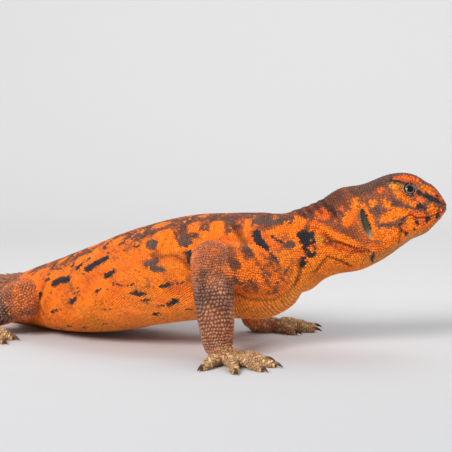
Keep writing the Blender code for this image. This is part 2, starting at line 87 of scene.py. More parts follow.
# The body's own shape, as in the CAD model: (distance, value) pairs that smooth curves pass through
HEADING = ((0, -5), (25, -6), (50, -12), (75, -20), (105, -34), (135, -44), (155, -46), (185, -34),
           (215, -12), (250, 12), (280, 22))
AXIS_HEIGHT = ((0, 43.0), (4, 43.6), (11, 44.1), (18, 42.1), (26, 38.2), (36, 34.9), (44, 31.7),
               (52, 28.1), (62, 25.5), (78, 24.2), (95, 20.8), (112, 16.0), (128, 12.6), (142, 10.3),
               (156, 8.2), (175, 6.6), (205, 5.5), (240, 4.1), (265, 3.0), (280, 2.1))
HALF_HEIGHT = ((0, 3.6), (3, 5.4), (6, 7.4), (11, 9.5), (16, 10.7), (22, 11.7), (30, 11.7), (38, 10.9),
               (45, 11.4), (54, 14.7), (64, 16.0), (78, 16.2), (95, 15.6), (112, 14.4), (128, 12.6),
               (142, 10.8), (156, 8.7), (175, 7.1), (205, 6.0), (240, 4.6), (265, 3.5), (280, 2.6))
HALF_WIDTH = ((0, 3.4), (3, 4.9), (7, 6.7), (11, 8.2), (16, 10.0), (21, 11.4), (27, 11.0), (34, 10.8),
              (42, 12.4), (50, 15.0), (58, 17.2), (70, 18.6), (85, 20.8), (102, 22.6), (118, 21.6),
              (132, 18.2), (144, 14.2), (156, 11.6), (175, 9.8), (205, 7.9), (240, 5.7), (265, 3.9),
              (280, 2.8))
ROUNDNESS = ((0, 2.1), (12, 2.3), (24, 2.2), (50, 2.1), (100, 2.3), (150, 2.2), (280, 2.2))
LEAN = ((0, 0.02), (8, 0.10), (14, 0.14), (22, 0.20), (32, 0.12), (50, 0.06), (100, 0.10), (150, 0.05),
        (280, 0.04))
# Swellings and hollows on both sides: distance, angle, reach along, reach round in degrees, height
SWELLINGS = (
    (9.8, 58, 4.4, 14, 1.1),  # brow ridge
    (10.8, 31, 2.8, 14, -0.55),  # hollow of the eye
    (3.6, 42, 1.9, 18, 0.45),  # nostril
    (18.5, 24, 4.6, 20, 0.65),  # temple
    (20.5, -22, 4.6, 24, 0.85),  # jaw muscle
    (6.6, 80, 1.5, 30, -0.4),  # dip before the brow
    (6.5, -84, 5.0, 40, 0.75),  # lower jaw
    (14.0, -84, 4.0, 36, 0.4),  # chin
    (20.2, 90, 3.6, 42, -1.15),  # nape
    (28.0, 86, 4.6, 34, 1.0),  # neck muscle
    (29.5, 0, 2.6, 34, -0.9),  # hollow behind the ear
    (33.5, -82, 7.0, 34, 1.2),  # throat
    (46.5, -84, 2.2, 30, 0.4),  # throat fold
    (51.4, -84, 2.1, 30, -1.6),  # notch before the chest
    (60.0, -84, 5.5, 34, 1.25),  # chest
    (63, 12, 8.0, 28, 1.6),  # shoulder
    (147, 8, 8.0, 40, 1.5),  # hip
)
# Folds on both sides: points of the fold's line as (distance, angle), half width, height
FOLDS = (
    (((27, -38), (30.6, -18), (33.8, -3), (37.8, 22), (43, 40)), 1.2, 1.0),
    (((47, 62), (43.8, 38), (43.6, 4), (43.4, -34), (41, -60)), 1.3, 0.9),
    (((63, 52), (59, 26), (55.5, -2)), 1.2, -0.9),
    (((88, 10), (101, -12), (112, -34)), 1.6, 0.7),
)
# Folds finer than those of the solids
FINE_FOLDS = (
    (((15.4, -24), (16.5, -38), (18, -52)), 0.5, -0.4),
    (((37.1, 9), (36.3, 1), (35.8, -6), (34.1, -10), (32.3, -17), (30.6, -23), (28.8, -29),
      (27.3, -36)), 0.5, -0.8),
    (((33.3, -36), (31.3, -32), (27.8, -35)), 0.35, -0.35),
    (((43.6, -39), (40.6, -33), (38.6, -27), (37.1, -34), (35.3, -44), (33.6, -57)), 0.4, -0.5),
    (((46.1, -11), (47.1, -25), (48.8, -35), (49.8, -41)), 0.4, -0.45),
    (((33.1, 50), (32.6, 40), (32.3, 30)), 0.5, -0.6),
    (((35.0, 90), (34.6, 62), (33.6, 40)), 0.5, -0.45),
    (((36.2, 90), (35.7, 64), (34.8, 46)), 0.6, 0.4),
    (((37.4, 90), (36.9, 64), (35.9, 44)), 0.5, -0.5),
    (((38.5, 90), (38.0, 66), (37.1, 48)), 0.6, 0.45),
    (((39.7, 90), (39.2, 66), (38.3, 48)), 0.5, -0.5),
    (((40.9, 90), (40.3, 68), (39.4, 50)), 0.6, 0.45),
    (((42.1, 90), (41.5, 68), (40.6, 50)), 0.5, -0.4),
    (((43.3, 90), (42.8, 70), (41.9, 54)), 0.6, 0.35),
    (((55.3, 24), (53.6, 11), (52.8, 0), (51.8, -10)), 0.45, -0.7),
    (((63.8, -24), (61.6, -32), (58.1, -40), (55.3, -45), (52.8, -44), (50.1, -40),
      (47.6, -33), (45.6, -20)), 0.4, -0.4),
    (((56.8, -32), (53.6, -34), (51.1, -30), (49.1, -20)), 0.35, -0.3),
    (((85.8, 24), (82.8, 20), (79.8, 20), (77.1, 14), (75.1, 4)), 0.5, -0.45),
    (((94, 20), (99, -2), (98, -26)), 1.2, 0.4),
    (((108, 16), (114, -4), (116, -24)), 1.2, 0.4),
    (((124, 14), (127, -6), (126, -24)), 1.1, -0.35),
    (((134, 16), (137, -6), (135, -24)), 1.1, 0.35),
)
CREASE_DARK = 0.66  # how much darker the bottom of a deep crease is
CREASE_DEEP = 0.5  # depth of a deep crease
ROW_MARGIN = 2.0  # how far rows are laid past their borders before they are trimmed
MARK_EDGE = 0.42  # width over which a marking fades out
EYE_AT = 10.9
EYE_ANGLE = 32.5
EYE_RADIUS = 2.35
EYE_SUNK = 1.25  # how far the eye's centre lies under the skin
LID_RADIUS = 0.36
MOUTH_LINE = ((0.5, -8), (2.3, -19), (5.7, -23), (9, -21), (11.3, -14), (13.8, -17), (15.5, -27))
NOSTRIL_AT = (3.3, 40)
EAR_AT = (24.8, 4)
EAR_SLOPE = -6.0  # how far the ear opening leans, in degrees
EAR_TALL = 4.1  # its half height
EAR_CUT = (1.25, 2.0, 4.6)  # half sizes of its cup
EAR_SUNK = 0.2  # how far the cup's centre lies under the skin
WHORLS = 22  # rings of spines on the tail
FIRST_WHORL = 157.0
WHORL_SHRINK = 1.15  # how fast the rings come closer towards the tip

# Limb joints as (forward, outward, height) from the body line at a distance, and radii there
FORE_AT = 68.0
FORE_JOINTS = ((14.0, 10.0, 24.0), (0.2, 24.0, 28.6), (3.0, 26.5, 5.4))
FORE_JOINTS_LEFT = ((10.0, 10.0, 23.5), (-5.0, 24.0, 27.6), (-1.5, 26.5, 5.4))
FORE_RADII = (7.4, 6.0, 6.2, 4.5)
HAND_TURN = 40.0
HIND_AT = 147.0
HIND_JOINTS = ((0.0, 8.0, 9.5), (16.0, 21.5, 12.0), (1.0, 27.5, 4.8))
HIND_RADII = (8.0, 6.2, 5.6, 3.6)
FOOT_TURN = 34.0
HAND_DIGITS = ((62, 7.5), (30, 11.0), (4, 13.2), (-24, 13.0), (-62, 9.5))
FOOT_DIGITS = ((50, 7.5), (24, 11.0), (5, 14.5), (-14, 17.5), (-48, 11.5))
HAND_PALM = (6.2, 4.7, 2.5)
FOOT_PALM = (9.0, 4.7, 2.6)
DIGIT_RADIUS = 1.65
CLAW_LENGTH = 3.6
CLAW_ROOT = 0.9  # how far behind the finger's tip a claw starts
FLOOR_BITE = 0.5  # how far palms and fingers reach under the floor before they are cut flat
FLOOR_GAP = 0.02  # height of the lowest scales above the floor
ROOT_SUNK = 0.22  # how far under the solids' surface the scales of lips, legs and tail start
BAKE_PATCH = 0.003  # width of one scale on the OFBake map
BAKE_EDGE = 0.02  # margin of the OFBake map
FRONT_LEGS = {"upper_arm", "forearm", "hand"}
UP = Vector((0, 0, 1))
AXES = ((1, 0, 0), (0, 1, 0), (0, 0, 1))
STATE = {}  # what later pieces need of earlier ones: the skin, its search tree, scale roots and materials
# Pitch of a limb's scales as a share of the leg scale, by place along it
LIMB_PITCH = {"upper_arm": ((0, 0.54), (0.5, 0.6), (1, 0.62)), "thigh": ((0, 0.6), (1, 0.8)),
              "forearm": ((0, 0.56), (0.25, 0.66), (0.5, 0.98), (0.75, 0.9), (1, 0.64)),
              "shank": ((0, 0.72), (0.5, 1.0), (1, 0.72))}

# Markings seen on the right side and repeated on the left, and two bands of painted shade under the neck's
# fold: (distance, angle) path, half width in mm, colour
MARKS = (
    (((13.3, 53), (11.1, 55), (8.8, 54), (7.8, 49)), 0.85, "ember"),
    (((14.3, 50), (13.1, 46), (11.8, 43)), 0.55, "mauve"),
    (((14.3, 50), (12.6, 44)), 0.4, "black"),
    (((8.8, 35), (7.3, 30), (5.1, 24), (2.1, 26)), 0.85, "black"),
    (((14.6, 41), (14.3, 39)), 0.75, "amber"),
    (((17.6, 40), (17.6, 39)), 0.75, "ember"),
    (((7.1, 43), (5.6, 45)), 1.0, "orange"),
    (((4.1, 46), (2.1, 49)), 0.95, "ember"),
    (((13.6, 24), (12.8, 20), (12.1, 16)), 1.15, "orange"),
    (((8.6, 18), (7.6, 14)), 0.75, "ember"),
    (((10.3, 6), (9.8, 6)), 0.95, "orange"),
    (((4.8, -1), (4.1, -7)), 1.15, "orange"),
    (((2.6, -21), (1.6, -9)), 0.7, "ember"),
    (((8.8, 2), (7.3, -1)), 0.75, "black"),
    (((12.1, -2), (10.6, -5)), 0.5, "mauve"),
    (((20.6, 25), (20.8, 21)), 0.95, "orange"),
    (((17.3, 17), (16.8, 11)), 0.9, "orange"),
    (((19.8, -5), (17.1, -4), (14.8, -3), (12.8, -10), (10.8, -13)), 1.25, "orange"),
    (((10.8, -13), (7.8, -17), (7.3, -32)), 0.85, "ember"),
    (((11.6, -29), (11.6, -30)), 1.45, "orange"),
    (((5.6, -30), (5.6, -31)), 0.75, "black"),
    (((2.6, -24), (2.8, -40)), 0.6, "black"),
    (((9.6, -30), (9.3, -33)), 0.4, "black"),
    (((14.6, -42), (14.1, -46)), 0.55, "black"),
    (((10.6, -43), (10.1, -46)), 0.4, "black"),
    (((15.6, -30), (15.3, -36)), 0.4, "black"),
    (((20.1, 15), (20.1, 9)), 0.55, "mauve"),
    (((15.6, 13), (13.8, 6)), 0.5, "mauve"),
    (((20.8, -9), (18.8, -16), (15.8, -23)), 0.6, "mauve"),
    (((21.6, -20), (18.3, -28), (16.6, -42)), 1.5, "orange"),
    (((23.3, -21), (24.8, -18)), 0.9, "orange"),
    (((23.6, 26), (23.3, 9), (23.3, -3), (22.8, -14)), 1.0, "orange"),
    (((25.1, 41), (26.3, 29)), 0.9, "orange"),
    (((28.3, 24), (29.8, 18)), 1.5, "orange"),
    (((36.1, 47), (35.3, 36)), 1.4, "ember"),
    (((29.8, 38), (31.1, 29)), 0.7, "ember"),
    (((43.3, 55), (42.3, 48), (41.8, 38)), 1.2, "orange"),
    (((38.8, 32), (38.1, 21)), 0.9, "ember"),
    (((36.1, 8), (34.6, -1)), 1.3, "orange"),
    (((42.8, 21), (40.6, 14)), 1.35, "black"),
    (((42.8, 12), (42.1, 4)), 1.05, "black"),
    (((42.6, 0), (42.3, -12)), 1.25, "black"),
    (((40.1, 9), (41.1, -7)), 0.6, "black"),
    (((41.8, -3), (41.8, -5)), 0.75, "orange"),
    (((39.1, 8), (38.8, 0)), 0.85, "amber"),
    (((44.8, -12), (45.6, -22)), 0.6, "black"),
    (((26.6, -42), (27.8, -62)), 0.4, "black"),
    (((55.3, 39), (54.6, 28), (53.3, 17)), 1.15, "black"),
    (((53.3, 17), (52.6, 5), (52.2, -8)), 0.95, "black"),
    (((47.8, 16), (46.1, 12)), 0.8, "mauve"),
    (((69.3, 55), (68.3, 42)), 2.0, "orange"),
    (((71.6, 41), (71.8, 39)), 1.2, "orange"),
    (((74.3, 31), (73.8, 26)), 1.4, "orange"),
    (((63.6, 38), (62.8, 36)), 1.0, "orange"),
    (((77.3, 36), (76.3, 31)), 1.4, "mauve"),
    (((83.3, 45), (81.8, 33)), 2.4, "orange"),
    (((86.1, 36), (85.6, 34)), 1.5, "mauve"),
    (((75.6, 21), (75.1, 11)), 0.75, "black"),
    (((83.3, -12), (81.3, -11)), 0.6, "black"),
    (((83.1, -34), (80.3, -29)), 0.7, "black"),
    (((88.6, -45), (87.6, -44)), 0.6, "black"),
    (((86.3, 14), (84.3, 16)), 1.0, "mauve"),
    (((84.8, 9), (82.8, 6)), 1.0, "mauve"),
    (((55.1, 62), (51.1, 58), (47.3, 58), (45.0, 56)), 1.5, "mauve"),
    (((53.6, 49), (51.3, 46)), 0.9, "rust"),
    (((58.6, 60), (58.6, 45), (60.1, 32)), 1.2, "orange"),
    (((48.2, 43), (44.1, 33), (41.3, 39)), 1.2, "orange"),
    (((50.8, 33), (49.6, 26), (48.3, 20)), 0.35, "umber"),
    # Below the neck's fold, red orange and rust: painted shade under the fold
    (((37.2, -6), (36.0, -13), (34.2, -20), (31.4, -28), (29.2, -34)), 0.75, "ember"),
    (((37.8, -3), (36.6, -8), (35.4, -13)), 0.35, "rust"),
    (((32.6, 9), (30.6, 1), (29.4, -6)), 0.9, "rust"),
    (((30.8, 33), (30.6, 27)), 0.5, "mauve"),
    (((52.4, -21), (50.6, -17), (49.3, -13)), 0.4, "umber"),
    (((99.5, 29), (103.5, 25), (105, 24)), 1.25, "black"),
    (((108.5, 31), (109.5, 29)), 0.8, "black"),
    (((112.5, 17), (116, 19), (118.5, 15)), 1.2, "black"),
    (((121.5, 24), (123, 23)), 0.7, "umber"),
    (((110, -8), (112, -12)), 0.8, "black"),
    (((126, 4), (130, -4), (133, -6)), 1.2, "black"),
    (((118, -18), (121, -22)), 0.6, "black"),
    (((137, 2), (139, -2)), 0.9, "black"),
    (((96, 12), (98, 9)), 0.9, "black"),
    (((101, -4), (102, -6)), 0.5, "black"),
    (((91.6, -15), (89, -17)), 0.6, "black"),
)


def linear(hex_colour):
    """An sRGB hex colour as linear RGB."""
    parts = [int(hex_colour[k:k + 2], 16) / 255 for k in (1, 3, 5)]
    return tuple(c / 12.92 if c <= 0.04045 else ((c + 0.055) / 1.055) ** 2.4 for c in parts)


def length_property(name, description, default):
    """A length in the panel."""
    return bpy.props.FloatProperty(name=name, description=description, default=default, min=0.0,
                                   unit="LENGTH")


def colour_property(name, description, hex_colour):
    """A colour in the panel, given as sRGB hex."""
    return bpy.props.FloatVectorProperty(name=name, description=description, default=linear(hex_colour),
                                         size=3, min=0.0, max=1.0, subtype="COLOR")


class LizardSizes(bpy.types.PropertyGroup):
    """Sizes of the scales and of the skin under them."""

    coat_depth: length_property("Coat depth", "How far the skin lies inside the solids", 0.00022)
    head_scale: length_property("Head scale", "Pitch of the head's plates", 0.00078)
    neck_scale: length_property("Neck scale", "Pitch of the neck's granules", 0.00068)
    throat_scale: length_property("Throat scale", "Pitch of the throat's fine scales", 0.0006)
    trunk_scale: length_property("Trunk scale", "Pitch of the back's and flanks' scales", 0.00067)
    belly_scale: length_property("Belly scale", "Pitch of the belly's tiles", 0.0008)
    leg_scale: length_property("Leg scale", "Pitch of the keeled scales of the legs", 0.00125)
    toe_scale: length_property("Toe scale", "Pitch of the plates on fingers and toes", 0.00095)
    tail_spine: length_property("Tail spine", "Length of the longest tail spines", 0.0036)


class LizardColours(bpy.types.PropertyGroup):
    """Colours of skin and scales."""

    orange: colour_property("Orange", "Bright ground colour", "#F87A0A")
    ember: colour_property("Ember", "Red orange of brow and snout", "#E2621A")
    amber: colour_property("Amber", "Yellow orange of throat and neck", "#E08A20")
    rust: colour_property("Rust", "Red brown between the markings", "#8C4A2C")
    mauve: colour_property("Mauve", "Grey brown of the back", "#64483E")
    black: colour_property("Black", "Black markings", "#2B282C")
    chin: colour_property("Chin", "Tan of chin and throat", "#C4823E")
    umber: colour_property("Umber", "Dark brown of the back's blotches", "#4A3630")
    bead: colour_property("Bead", "Pink brown of the forearms' beads", "#A86C4C")
    hand: colour_property("Hand", "Tan of hands and feet", "#B98F65")
    pale: colour_property("Pale", "Pale flecks of fingers and toes", "#E2CB96")
    lid: colour_property("Lid", "Pale edge of the eyelids", "#C9B092")
    claw: colour_property("Claw", "Dark horn of the claws", "#46301F")
    ear: colour_property("Ear", "Grey green inside of the ear", "#857B62")


def curve(stations):
    """A smooth curve through the stations that never overshoots them, for arrays."""
    x, y = (np.array(column, float) for column in zip(*stations))
    step = np.diff(x)
    slope = np.diff(y) / step
    grade = np.concatenate([slope[:1], np.zeros(len(x) - 2), slope[-1:]])
    for i in range(1, len(x) - 1):
        if slope[i - 1] * slope[i] > 0:
            near, far = 2 * step[i] + step[i - 1], step[i] + 2 * step[i - 1]
            grade[i] = (near + far) / (near / slope[i - 1] + far / slope[i])

    def value(s):
        s = np.clip(np.asarray(s, float), x[0], x[-1])
        i = np.clip(np.searchsorted(x, s) - 1, 0, len(x) - 2)
        t = (s - x[i]) / step[i]
        u = 1 - t
        ends = y[i] * (1 + 2 * t) * u * u + y[i + 1] * (3 - 2 * t) * t * t
        return ends + step[i] * (grade[i] * t * u * u - grade[i + 1] * t * t * u)

    return value


heading = curve(HEADING)
axis_height = curve(AXIS_HEIGHT)
half_height = curve(HALF_HEIGHT)
half_width = curve(HALF_WIDTH)
roundness = curve(ROUNDNESS)
lean = curve(LEAN)


def body_line(step=0.5):
    """Distances and points of the body line, in mm, from the snout."""
    s = np.arange(0, TAIL_TIP + step / 2, step)
    climb = np.diff(axis_height(s))
    along = np.sqrt(step * step - climb * climb)
    turn = np.radians(heading(s[1:] - step / 2))
    x = np.concatenate([[0], np.cumsum(-np.cos(turn) * along)])
    y = np.concatenate([[0], np.cumsum(-np.sin(turn) * along)])
    return s, np.stack([x, y, axis_height(s)], 1)


LINE_AT, LINE = body_line()


def line_points(s):
    """Points of the body line."""
    s = np.clip(s, 0, TAIL_TIP)
    return np.stack([np.interp(s, LINE_AT, LINE[:, k]) for k in range(3)], -1)


def unit(v):
    """Vectors of length 1."""
    return v / np.maximum(np.linalg.norm(v, axis=-1, keepdims=True), 1e-12)


def frames(s):
    """(points, forward, right, up) of the body line."""
    s = np.asarray(s, float)
    forward = unit(line_points(s - PLANE_REACH) - line_points(s + PLANE_REACH))
    turn = np.radians(heading(s))
    right = np.stack([np.sin(turn), -np.cos(turn), np.zeros_like(turn)], -1)
    return line_points(s), forward, right, np.cross(right, forward)


def side_angle(angle):
    """Angles above the nearer side, -90 to 90, from angles round the body."""
    angle = np.mod(angle, 360)
    return np.where(angle <= 90, angle, np.where(angle <= 270, 180 - angle, angle - 360))


def path_distance(points, path):
    """Distance of (N, 2) points to a path of 2-D points."""
    best = np.full(len(points), 1e9)
    for a, b in zip(path, path[1:]):
        ab = b - a
        t = np.clip(((points - a) @ ab) / max(float(ab @ ab), 1e-9), 0, 1)
        best = np.minimum(best, np.linalg.norm(points - a - t[:, None] * ab, axis=1))
    return best


def degree_mm(s):
    """Width of one degree round the body."""
    return math.radians(1) * (half_height(s) + half_width(s)) / 2


def path_gap(s, side, path, reach=6):
    """(which places are near a path along the body, how far those are from it in mm)."""
    low, high = min(p[0] for p in path) - reach, max(p[0] for p in path) + reach
    near = (s > low) & (s < high)
    per = float(degree_mm((low + high) / 2))
    line = np.array([(at, turn * per) for at, turn in path])
    return near, path_distance(np.stack([s[near], side[near] * per], 1), line)


def relief(s, angle):
    """Height of swellings and folds, in mm."""
    side = side_angle(angle)
    height = np.zeros_like(side)
    for at, turn, reach, spread, lift in SWELLINGS:
        height += lift * np.exp(-(((s - at) / reach) ** 2) - ((side - turn) / spread) ** 2)
    for path, width, lift in FOLDS + FINE_FOLDS:
        near, gap = path_gap(s, side, path)
        height[near] += lift * np.exp(-((gap / width) ** 2))
    return height


def crease_shade(s, side):
    """How light places are: 1 in the open, less at the bottom of creases."""
    shade = np.ones(len(s))
    for path, width, lift in FOLDS + FINE_FOLDS:
        if lift < 0:
            near, gap = path_gap(s, side, path)
            deep = min(1, -lift / CREASE_DEEP)
            shade[near] *= 1 - CREASE_DARK * deep * np.exp(-((gap / (width + 0.15)) ** 2))
    return shade


def skin_points(s, angle, grow=0.0):
    """Points of the skin in mm, before the model is centred."""
    s, angle = np.broadcast_arrays(np.asarray(s, float), np.asarray(angle, float))
    s, angle = s.ravel(), angle.ravel()
    point, _, right, up = frames(s)
    near, far = np.clip(s / SNOUT_ROUNDING, 0, 1), np.clip((TAIL_TIP - s) / TAIL_ROUNDING, 0, 1)
    end = np.sqrt(near * (2 - near)) * np.sqrt(far * (2 - far))
    turn = np.radians(angle)
    across, above = np.cos(turn), np.sin(turn)
    n = roundness(s)
    reach = (np.abs(across) ** n + np.abs(above) ** n) ** (-1 / n)
    wide = np.maximum(half_width(s) * end + grow, 0.01)
    high = np.maximum(half_height(s) * end + grow, 0.01)
    x = wide * reach * across * (1 - lean(s) * above)
    z = high * reach * above
    normal = unit(np.stack([x / wide / wide, z / high / high], 1))
    lift = relief(s, angle) * end
    return point + right * (x + normal[:, 0] * lift)[:, None] + up * (z + normal[:, 1] * lift)[:, None]


def skin_frames(s, angle, grow=0.0):
    """(points, outward, backward) on the skin, in mm."""
    s, angle = np.broadcast_arrays(np.asarray(s, float), np.asarray(angle, float))
    s, angle = s.ravel(), angle.ravel()
    backward = unit(skin_points(s + 0.4, angle, grow) - skin_points(s - 0.4, angle, grow))
    around = unit(skin_points(s, angle + 2, grow) - skin_points(s, angle - 2, grow))
    return skin_points(s, angle, grow), unit(np.cross(around, backward)), backward


def angle_on(side, angle):
    """An angle of the right side, on the given side."""
    return angle if side > 0 else 180 - angle


def one_frame(s, angle):
    """(point, outward, backward) at one place, as vectors in mm."""
    return tuple(Vector(value[0]) for value in skin_frames([s], [angle]))


def eye_place(side):
    """(centre, outward, backward) of an eye."""
    here, outward, backward = one_frame(EYE_AT, angle_on(side, EYE_ANGLE))
    return here - outward * EYE_SUNK, outward, backward


def cad_shift():
    """From the body line's own coordinates to the CAD frame, in mm, by the place of the right eye."""
    low, high = (Vector(corner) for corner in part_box("eye_right"))
    return np.array((low + high) / 2 / MM - eye_place(1)[0])


SHIFT = cad_shift()


def lattice_noise(points, seed):
    """Smooth noise from 0 to 1 at (N, 3) points, one lattice cell per unit."""
    base = np.floor(points).astype(np.int64)
    t = points - base
    t = t * t * (3 - 2 * t)
    total = np.zeros(len(points))
    for corner in range(8):
        shift = np.array([(corner >> k) & 1 for k in range(3)])
        cell = (base + shift).astype(np.uint64)
        mixed = np.zeros(len(points), np.uint64)
        for k, prime in enumerate((73856093, 19349663, 83492791)):
            mixed = mixed ^ cell[:, k] * np.uint64(prime)
        mixed = (mixed ^ np.uint64(seed * 2654435761 % 2**32)) * np.uint64(2246822519) & np.uint64(0xFFFFFFFF)
        mixed = (mixed ^ (mixed >> np.uint64(15))) * np.uint64(3266489917) & np.uint64(0xFFFFFFFF)
        value = ((mixed ^ (mixed >> np.uint64(13))) & np.uint64(0xFFFFF)).astype(float) / 0xFFFFF
        total += value * np.prod(np.where(shift, t, 1 - t), axis=1)
    return total


def noise(points, size, seed, layers=2):
    """Layered noise with features of about that size, in the points' unit."""
    total, weight = np.zeros(len(points)), 0.0
    for k in range(layers):
        share = 0.5 ** k
        total += share * lattice_noise(points / size * 2 ** k + 100.0 + 7.3 * k, seed + k)
        weight += share
    return total / weight


def step_between(low, high, value):
    """0 at low, 1 at high, and smooth between them."""
    t = np.clip((value - low) / (high - low), 0, 1)
    return t * t * (3 - 2 * t)


def soft(value, edge, width):
    """0 below an edge, 1 above it, and in between within half a width of it."""
    return np.clip((value - edge) / width + 0.5, 0, 1)


def palette():
    """The panel's colours by name."""
    colours = bpy.context.scene.lizard_colours
    return {name: np.array(getattr(colours, name)) for name in LizardColours.__annotations__}


def size_mm(name):
    """One of the panel's sizes in millimetres."""
    return getattr(bpy.context.scene.lizard_sizes, name) / MM


def rise(value, start, slope, most=1.0):
    """0 up to a start, then rising by the slope up to the most."""
    return np.clip((value - start) * slope, 0, most)


def full_turn(count):
    """That many angles round a circle."""
    return [2 * math.pi * k / count for k in range(count)]


def blend(a, b, share):
    """Colours from a at share 0 to b at share 1."""
    share = np.asarray(share)[..., None]
    return a * (1 - share) + b * share


def body_tints(s, angle, rng):
    """Colour of each scale of the body, crisp from scale to scale as on the animal, with painted shade in
    creases and under the neck's fold and painted light on the chest.
    """
    colours = palette()
    side = side_angle(angle)
    left = (np.mod(angle, 360) > 90) & (np.mod(angle, 360) <= 270)
    per = degree_mm(s)
    flat = np.stack([s, side * per, np.where(left, 60.0, 0.0)], 1)
    grain = rng.normal(0, 1, len(s))
    broad, middling, fine = noise(flat, 9, 3), noise(flat, 4, 11), noise(flat, 1.7, 23)
    tint = np.tile(colours["orange"], (len(s), 1))
    tint = blend(tint, colours["amber"], rise(broad, 0.42, 1.6, 0.7))
    tint = blend(tint, colours["ember"], rise(noise(flat, 5, 71) + 0.05 * grain, 0.52, 3, 0.75))
    # Throat and chin are tan and the belly a paler orange; the chest's underside is a little paler too, and
    # brightened as painted light
    under = step_between(-30, -52, side + 13 * step_between(30, 20, s))
    tint = blend(tint, colours["chin"], under * step_between(34, 22, s) * 0.9)
    tint = blend(tint, colours["amber"], under * step_between(20, 40, s) * 0.35)
    # Painted light: the chest's underside made up to a quarter brighter
    chest = step_between(-18, -34, side) * step_between(42, 54, s) * step_between(110, 90, s)
    tint = blend(tint, colours["chin"], chest * 0.3) * (1 + 0.24 * chest)[:, None]
    # Head and nape are rust and grey brown, and so is the neck above its fold
    fold = np.interp(s, [p[0] for p in FOLDS[0][0]], [p[1] for p in FOLDS[0][0]])
    head = step_between(29, 24, s) * step_between(-34, -18, side + 10 * (middling - 0.5))
    above_fold = step_between(2, 14, side - fold + 16 * (middling - 0.5))
    neck = step_between(25, 29, s) * step_between(47, 42, s) * above_fold
    dull = np.maximum(head, 0.9 * neck)
    tint = blend(tint, colours["rust"], dull * 0.93)
    grey = dull * rise(fine + 0.16 * grain, 0.5, 4)
    tint = blend(tint, colours["mauve"], grey * 0.85)
    ruddy = neck * rise(noise(flat, 2.6, 83) + 0.08 * grain, 0.56, 9)
    tint = blend(tint, colours["ember"], ruddy)
    top = dull * step_between(34, 60, side + 24 * (middling - 0.5)) * step_between(5, 12, s)
    crown = blend(colours["mauve"], colours["umber"], rise(fine + 0.2 * grain, 0.35, 3))
    tint = blend(tint, crown, top * (0.8 - 0.36 * step_between(30, 38, s)))
    # A few pale scales on head and neck: pale flecks, partly painted highlights
    tint = blend(tint, colours["lid"], 0.07 * ((dull > 0.4) & (grain > 1.5)))
    # The back is grey brown, warmer over the neck, and broken by orange scales
    edge = 44 + 6 * np.sin(s / 7.0) + 26 * (middling - 0.5) - 12 * step_between(60, 30, s)
    back = step_between(-9, 9, side - edge) * step_between(20, 30, s)
    fleck = soft(fine + 0.14 * grain, 0.68, 0.16)
    warm = 0.6 * step_between(27, 30, s) * step_between(43, 38, s)
    ruddiness = np.clip(broad * 1.5 - 0.12 + 0.12 * grain + warm, 0, 1)
    brown = blend(colours["mauve"], colours["rust"], ruddiness) * 0.84
    tint = blend(tint, brown, soft(back + 0.26 * grain, 0.5, 0.4) * (1 - fleck))
    # Rows of round orange spots across the back, with dark brown between them
    apart, wide = 11.5, 26.0  # mm along and degrees round
    row = np.floor(s / apart)
    along = (s / apart - row - 0.5) * apart
    turn = (np.where(left, 180 - side, side) + 13 * np.mod(row, 2)) / wide
    spot = np.hypot(along, (turn - np.round(turn)) * wide * per) + 0.35 * grain + 1.6 * (middling - 0.5)
    rows = (s > 74) & (s < 152) & (side > 22)
    tint = blend(tint, colours["orange"], rows * soft(2.2 - spot, 0, MARK_EDGE))
    ring = soft(0.75 - np.abs(spot - 3.85), 0, MARK_EDGE) * soft(fine + 0.08 * grain, 0.54, 0.12)
    tint = blend(tint, colours["umber"], ring * rows * (side > 34))
    # Small dark dashes on the flanks, and blotches on neck and nape
    dash = noise(flat * np.array([1.0, 2.2, 1.0]), 3.4, 31)
    flank = (s > 72) & (s < 156) & (side < 40) & (side > -58)
    tint = blend(tint, colours["umber"], flank * soft(dash + 0.05 * grain, 0.80, 0.06))
    grimy = (s > 46) & (s < 156) & (side > -20)
    grime = noise(flat, 3.0, 97) + 0.10 * grain + 0.07 * step_between(78, 66, s)
    tint = blend(tint, colours["rust"], 0.75 * grimy * soft(grime, 0.76, 0.1))
    blotch = (s > 28) & (s < 72) & (side > 50)
    tint = blend(tint, colours["umber"], 0.8 * blotch * soft(middling + 0.12 * grain, 0.66, 0.14))
    # The tail: brown above, orange below
    tail = step_between(150, 160, s)
    upper = np.clip(step_between(-20, 40, side + 40 * (middling - 0.5)), 0, 0.9)
    brown = blend(colours["rust"], colours["mauve"], np.clip(broad * 2 - 0.5, 0, 1))
    tint = blend(tint, blend(colours["orange"], brown, upper), tail)
    # The markings seen in the photograph, and the painted shade under the neck's fold
    for path, width, name in MARKS:
        near, gap = path_gap(s, side, [(at, turn + 1e-3 * k) for k, (at, turn) in enumerate(path)], 4)
        wobble = 0.7 * (fine[near] - 0.5) + 0.16 * grain[near]
        wobble = wobble + np.where(left[near], 1.2 * (middling[near] - 0.5), 0)
        tint[near] = blend(tint[near], colours[name], soft(width + 0.12 - gap - wobble, 0, MARK_EDGE))
    light = np.clip(1 + 0.13 * grain, 0.7, 1.4) * crease_shade(s, side)
    return tint * light[:, None]


